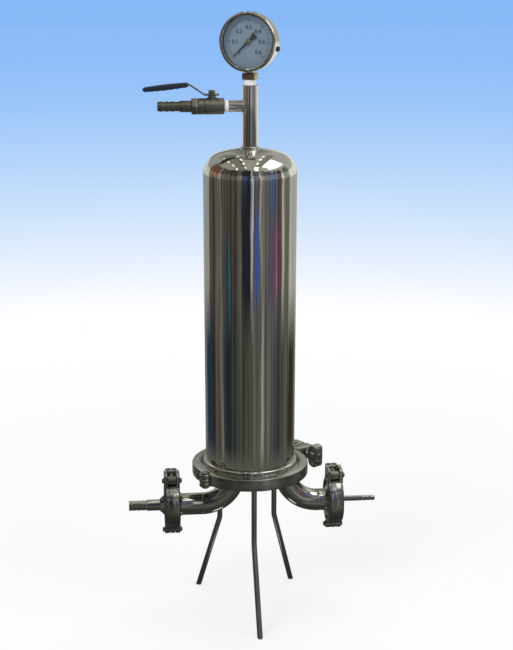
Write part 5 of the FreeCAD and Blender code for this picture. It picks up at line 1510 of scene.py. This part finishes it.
def reflection_card():
    """A round glowing card about the part, seen only in metal and glass, whose colours paint
    their reflections and highlights.

    It has a dark table from 20 mm out that paints shade into the undersides, a wall with
    upright streaks and a ceiling with panels and bright lamp patches, 1 m up.
    """
    table_from, table_high, wall_at, ceiling_high = 20, 0.8, 500, 1000
    card = lathe("reflection_card", [(table_from, table_high), (wall_at, table_high),
                               (wall_at, ceiling_high), (0, ceiling_high)])
    card.rotation_euler.z = math.radians(CAMERA_AZIMUTH)
    room = Finish("Reflection card", (0.1, 0.1, 0.1), 0.0, 0.5)
    right, back, height = room.split(room.coordinates())
    drift = (room.noise(3, 2, (1, 1, 1.6)) - 0.5) * 0.036
    wobble = (room.noise(14, 2, (1, 1, 0.6)) - 0.5) * 0.018
    share = room.math("ARCTAN2", right, 0 - back) / (2 * math.pi) + 0.5 + drift + wobble
    upper = room.spread(height + (room.noise(24, 1, (1, 1, 0.02)) - 0.5) * 0.10, 0, 1, 0.19, 0.29)
    low_wall = room.ramp(share, REFLECTION_LOW)
    eaves = room.noise(11, 2, (1, 1, 0.02)) * 0.34 + 0.70 - room.band(right, 0.5, 0.15, 0.1) * 0.14
    above = room.spread(height - eaves, 0, 1, 0, 0.05)
    shade = room.mix(above, reflection_wall(room, share, height, upper, low_wall),
                     room.ramp(right + 0.5, CEILING))
    # Dark foot of the wall: painted dark reflection
    foot = room.spread(height, 1, 0, 0.012, 0.045)
    shade = room.mix(foot, shade, WALL_FOOT)
    # The dark table paints shade into the undersides, with the wall's streaks coming in further
    # out.
    far = room.spread(room.away(right, back), 0.1, 0.8, 0.10, 0.36)
    on_table = room.spread(height, 1, 0, 0.001, 0.003)
    shade = room.mix(on_table, shade, room.mix(far, PAINTED_SHADE_TABLE, low_wall))
    # Bright patches: painted highlights in the metal
    bright = highlight_patches(room, right, back, height, above)
    shade = room.mix(bright, shade, HIGHLIGHT_WHITE)
    # Dark band: painted dark reflection
    dark_band = room.band(height, 0.635, 0.02, 0.01) * room.band(share, 0.035, 0.03, 0.02)
    shade = room.mix(dark_band * 0.8, shade, DARK_REFLECTION_BAND)
    # Brighter band of the wall: a painted highlight on the stem
    stem_highlight = room.band(height, 0.545, 0.06, 0.03) * 0.9 + 1
    on_wall = (1 - above) * (1 - foot)
    strength = (wall_gain(room, share, upper) * stem_highlight - 1) * on_wall + 1 + bright * 0.6
    # The card's glow paints the reflections and highlights seen in the metal and glass.
    room.show(room.glow(shade, strength))
    card.data.materials.append(room.material)
    card.visible_camera = False
    card.visible_diffuse = False
    card.visible_shadow = False
    card.visible_transmission = False
    return card


# Backdrop behind the part, as (height in the picture's upper half, colour)
BACKDROP = (
    (0.000, (0.25, 0.49, 0.94)), (0.167, (0.27, 0.51, 0.95)), (0.333, (0.34, 0.57, 0.95)),
    (0.500, (0.46, 0.66, 0.96)), (0.667, (0.61, 0.77, 0.97)), (0.833, (0.80, 0.87, 0.99)),
    (1.000, (1.0, 1.0, 1.0)),
)
WORLD_LIGHT = (0.44, 0.45, 0.46)


def pale_floor():
    """White floor that turns pale blue far behind the part.

    The distance from the part gives the height in the picture, and that the colour.
    """
    bpy.ops.mesh.primitive_plane_add(size=60)
    floor = added("floor")
    ground = Finish("Floor", colors().floor, 0.0, 0.8)
    across, back, _ = ground.split(ground.coordinates())
    away = ground.away(across, back)
    glow = ground.glow(ground.ramp(2.95 / (away + 1.4) - 0.013, BACKDROP), 1.0)
    near, far = 0.35, 1.1
    share = ground.spread(away, 0.7, 1, near, far) * ground.seen()
    lit = Wire(ground, ground.shader.outputs[0])
    ground.show(ground.node("ShaderNodeMixShader", None, {0: share, 1: lit, 2: glow}))
    floor.data.materials.append(ground.material)
    return floor


def lamp(name, power, side, at):
    deselect()
    bpy.ops.object.light_add(type="AREA", location=at)
    light = bpy.context.object
    light.name = name
    light.data.energy = power
    light.data.shape = "RECTANGLE"
    light.data.size = light.data.size_y = side
    light.visible_glossy = False
    aim = Vector(LAMP_TARGET) - Vector(at)
    light.rotation_euler = aim.to_track_quat("-Z", "Y").to_euler()
    return light


def soft_world():
    world = bpy.context.scene.world or bpy.data.worlds.new("World")
    bpy.context.scene.world = world
    world.use_nodes = True
    sky = Recipe(world.node_tree)
    background = world.node_tree.nodes["Background"]
    sky.plug(background.inputs["Color"], sky.mix(sky.seen(), WORLD_LIGHT, BACKDROP[0][1]))
    background.inputs["Strength"].default_value = 1.0


def photo_camera(scene):
    deselect()
    bpy.ops.object.camera_add()
    camera = bpy.context.object
    camera.name = "camera"
    turn = math.radians(CAMERA_AZIMUTH)
    camera.location = (CAMERA_DISTANCE * MM * math.sin(turn),
                       -CAMERA_DISTANCE * MM * math.cos(turn), CAMERA_HEIGHT * MM)
    camera.rotation_euler = (math.radians(90 - CAMERA_PITCH), 0, turn)
    camera.data.sensor_width = SENSOR
    camera.data.lens = SENSOR * FOCAL_LENGTH / PICTURE_HEIGHT
    camera.data.shift_x = SHIFT_X / PICTURE_HEIGHT
    camera.data.shift_y = SHIFT_Y / PICTURE_HEIGHT
    camera.data.clip_start = 0.05
    scene.camera = camera


class FILTER_OT_stage(bpy.types.Operator):
    """Sets up the pale floor, the soft light and the camera"""

    bl_idname = "filter.stage"
    bl_label = "Stage"

    def execute(self, context):
        deselect()
        pale_floor()
        reflection_card()
        [lamp(*values) for values in LAMPS]
        soft_world()
        photo_camera(context.scene)
        context.scene.view_settings.view_transform = "Standard"
        return {"FINISHED"}


class FILTER_PT_panel(bpy.types.Panel):
    """Lists the steps that dress the filter"""

    bl_label = "Cartridge filter"
    bl_idname = "FILTER_PT_panel"
    bl_space_type = "VIEW_3D"
    bl_region_type = "UI"
    bl_category = "Filter"

    def draw(self, context):
        for step in STEPS:
            self.layout.operator(step.bl_idname)
        self.layout.prop(context.scene.filter_colors, "polished")
        self.layout.prop(context.scene.filter_colors, "cast")


STEPS = (
    FILTER_OT_finishes, FILTER_OT_bell, FILTER_OT_top_tee, FILTER_OT_base, FILTER_OT_legs,
    FILTER_OT_ports, FILTER_OT_body_clamp, FILTER_OT_port_clamps, FILTER_OT_valve,
    FILTER_OT_gauge, FILTER_OT_tapes, FILTER_OT_stage,
)
CLASSES = (HousingSizes, FinishColors, *STEPS, FILTER_PT_panel)


def register():
    for item in CLASSES:
        bpy.utils.register_class(item)
    bpy.types.Scene.filter_sizes = bpy.props.PointerProperty(type=HousingSizes)
    bpy.types.Scene.filter_colors = bpy.props.PointerProperty(type=FinishColors)


def unregister():
    del bpy.types.Scene.filter_colors
    del bpy.types.Scene.filter_sizes
    for item in reversed(CLASSES):
        bpy.utils.unregister_class(item)


def main():
    register()
    for step in STEPS:
        group, name = step.bl_idname.split(".")
        getattr(getattr(bpy.ops, group), name)()


if __name__ == "__main__":
    main()
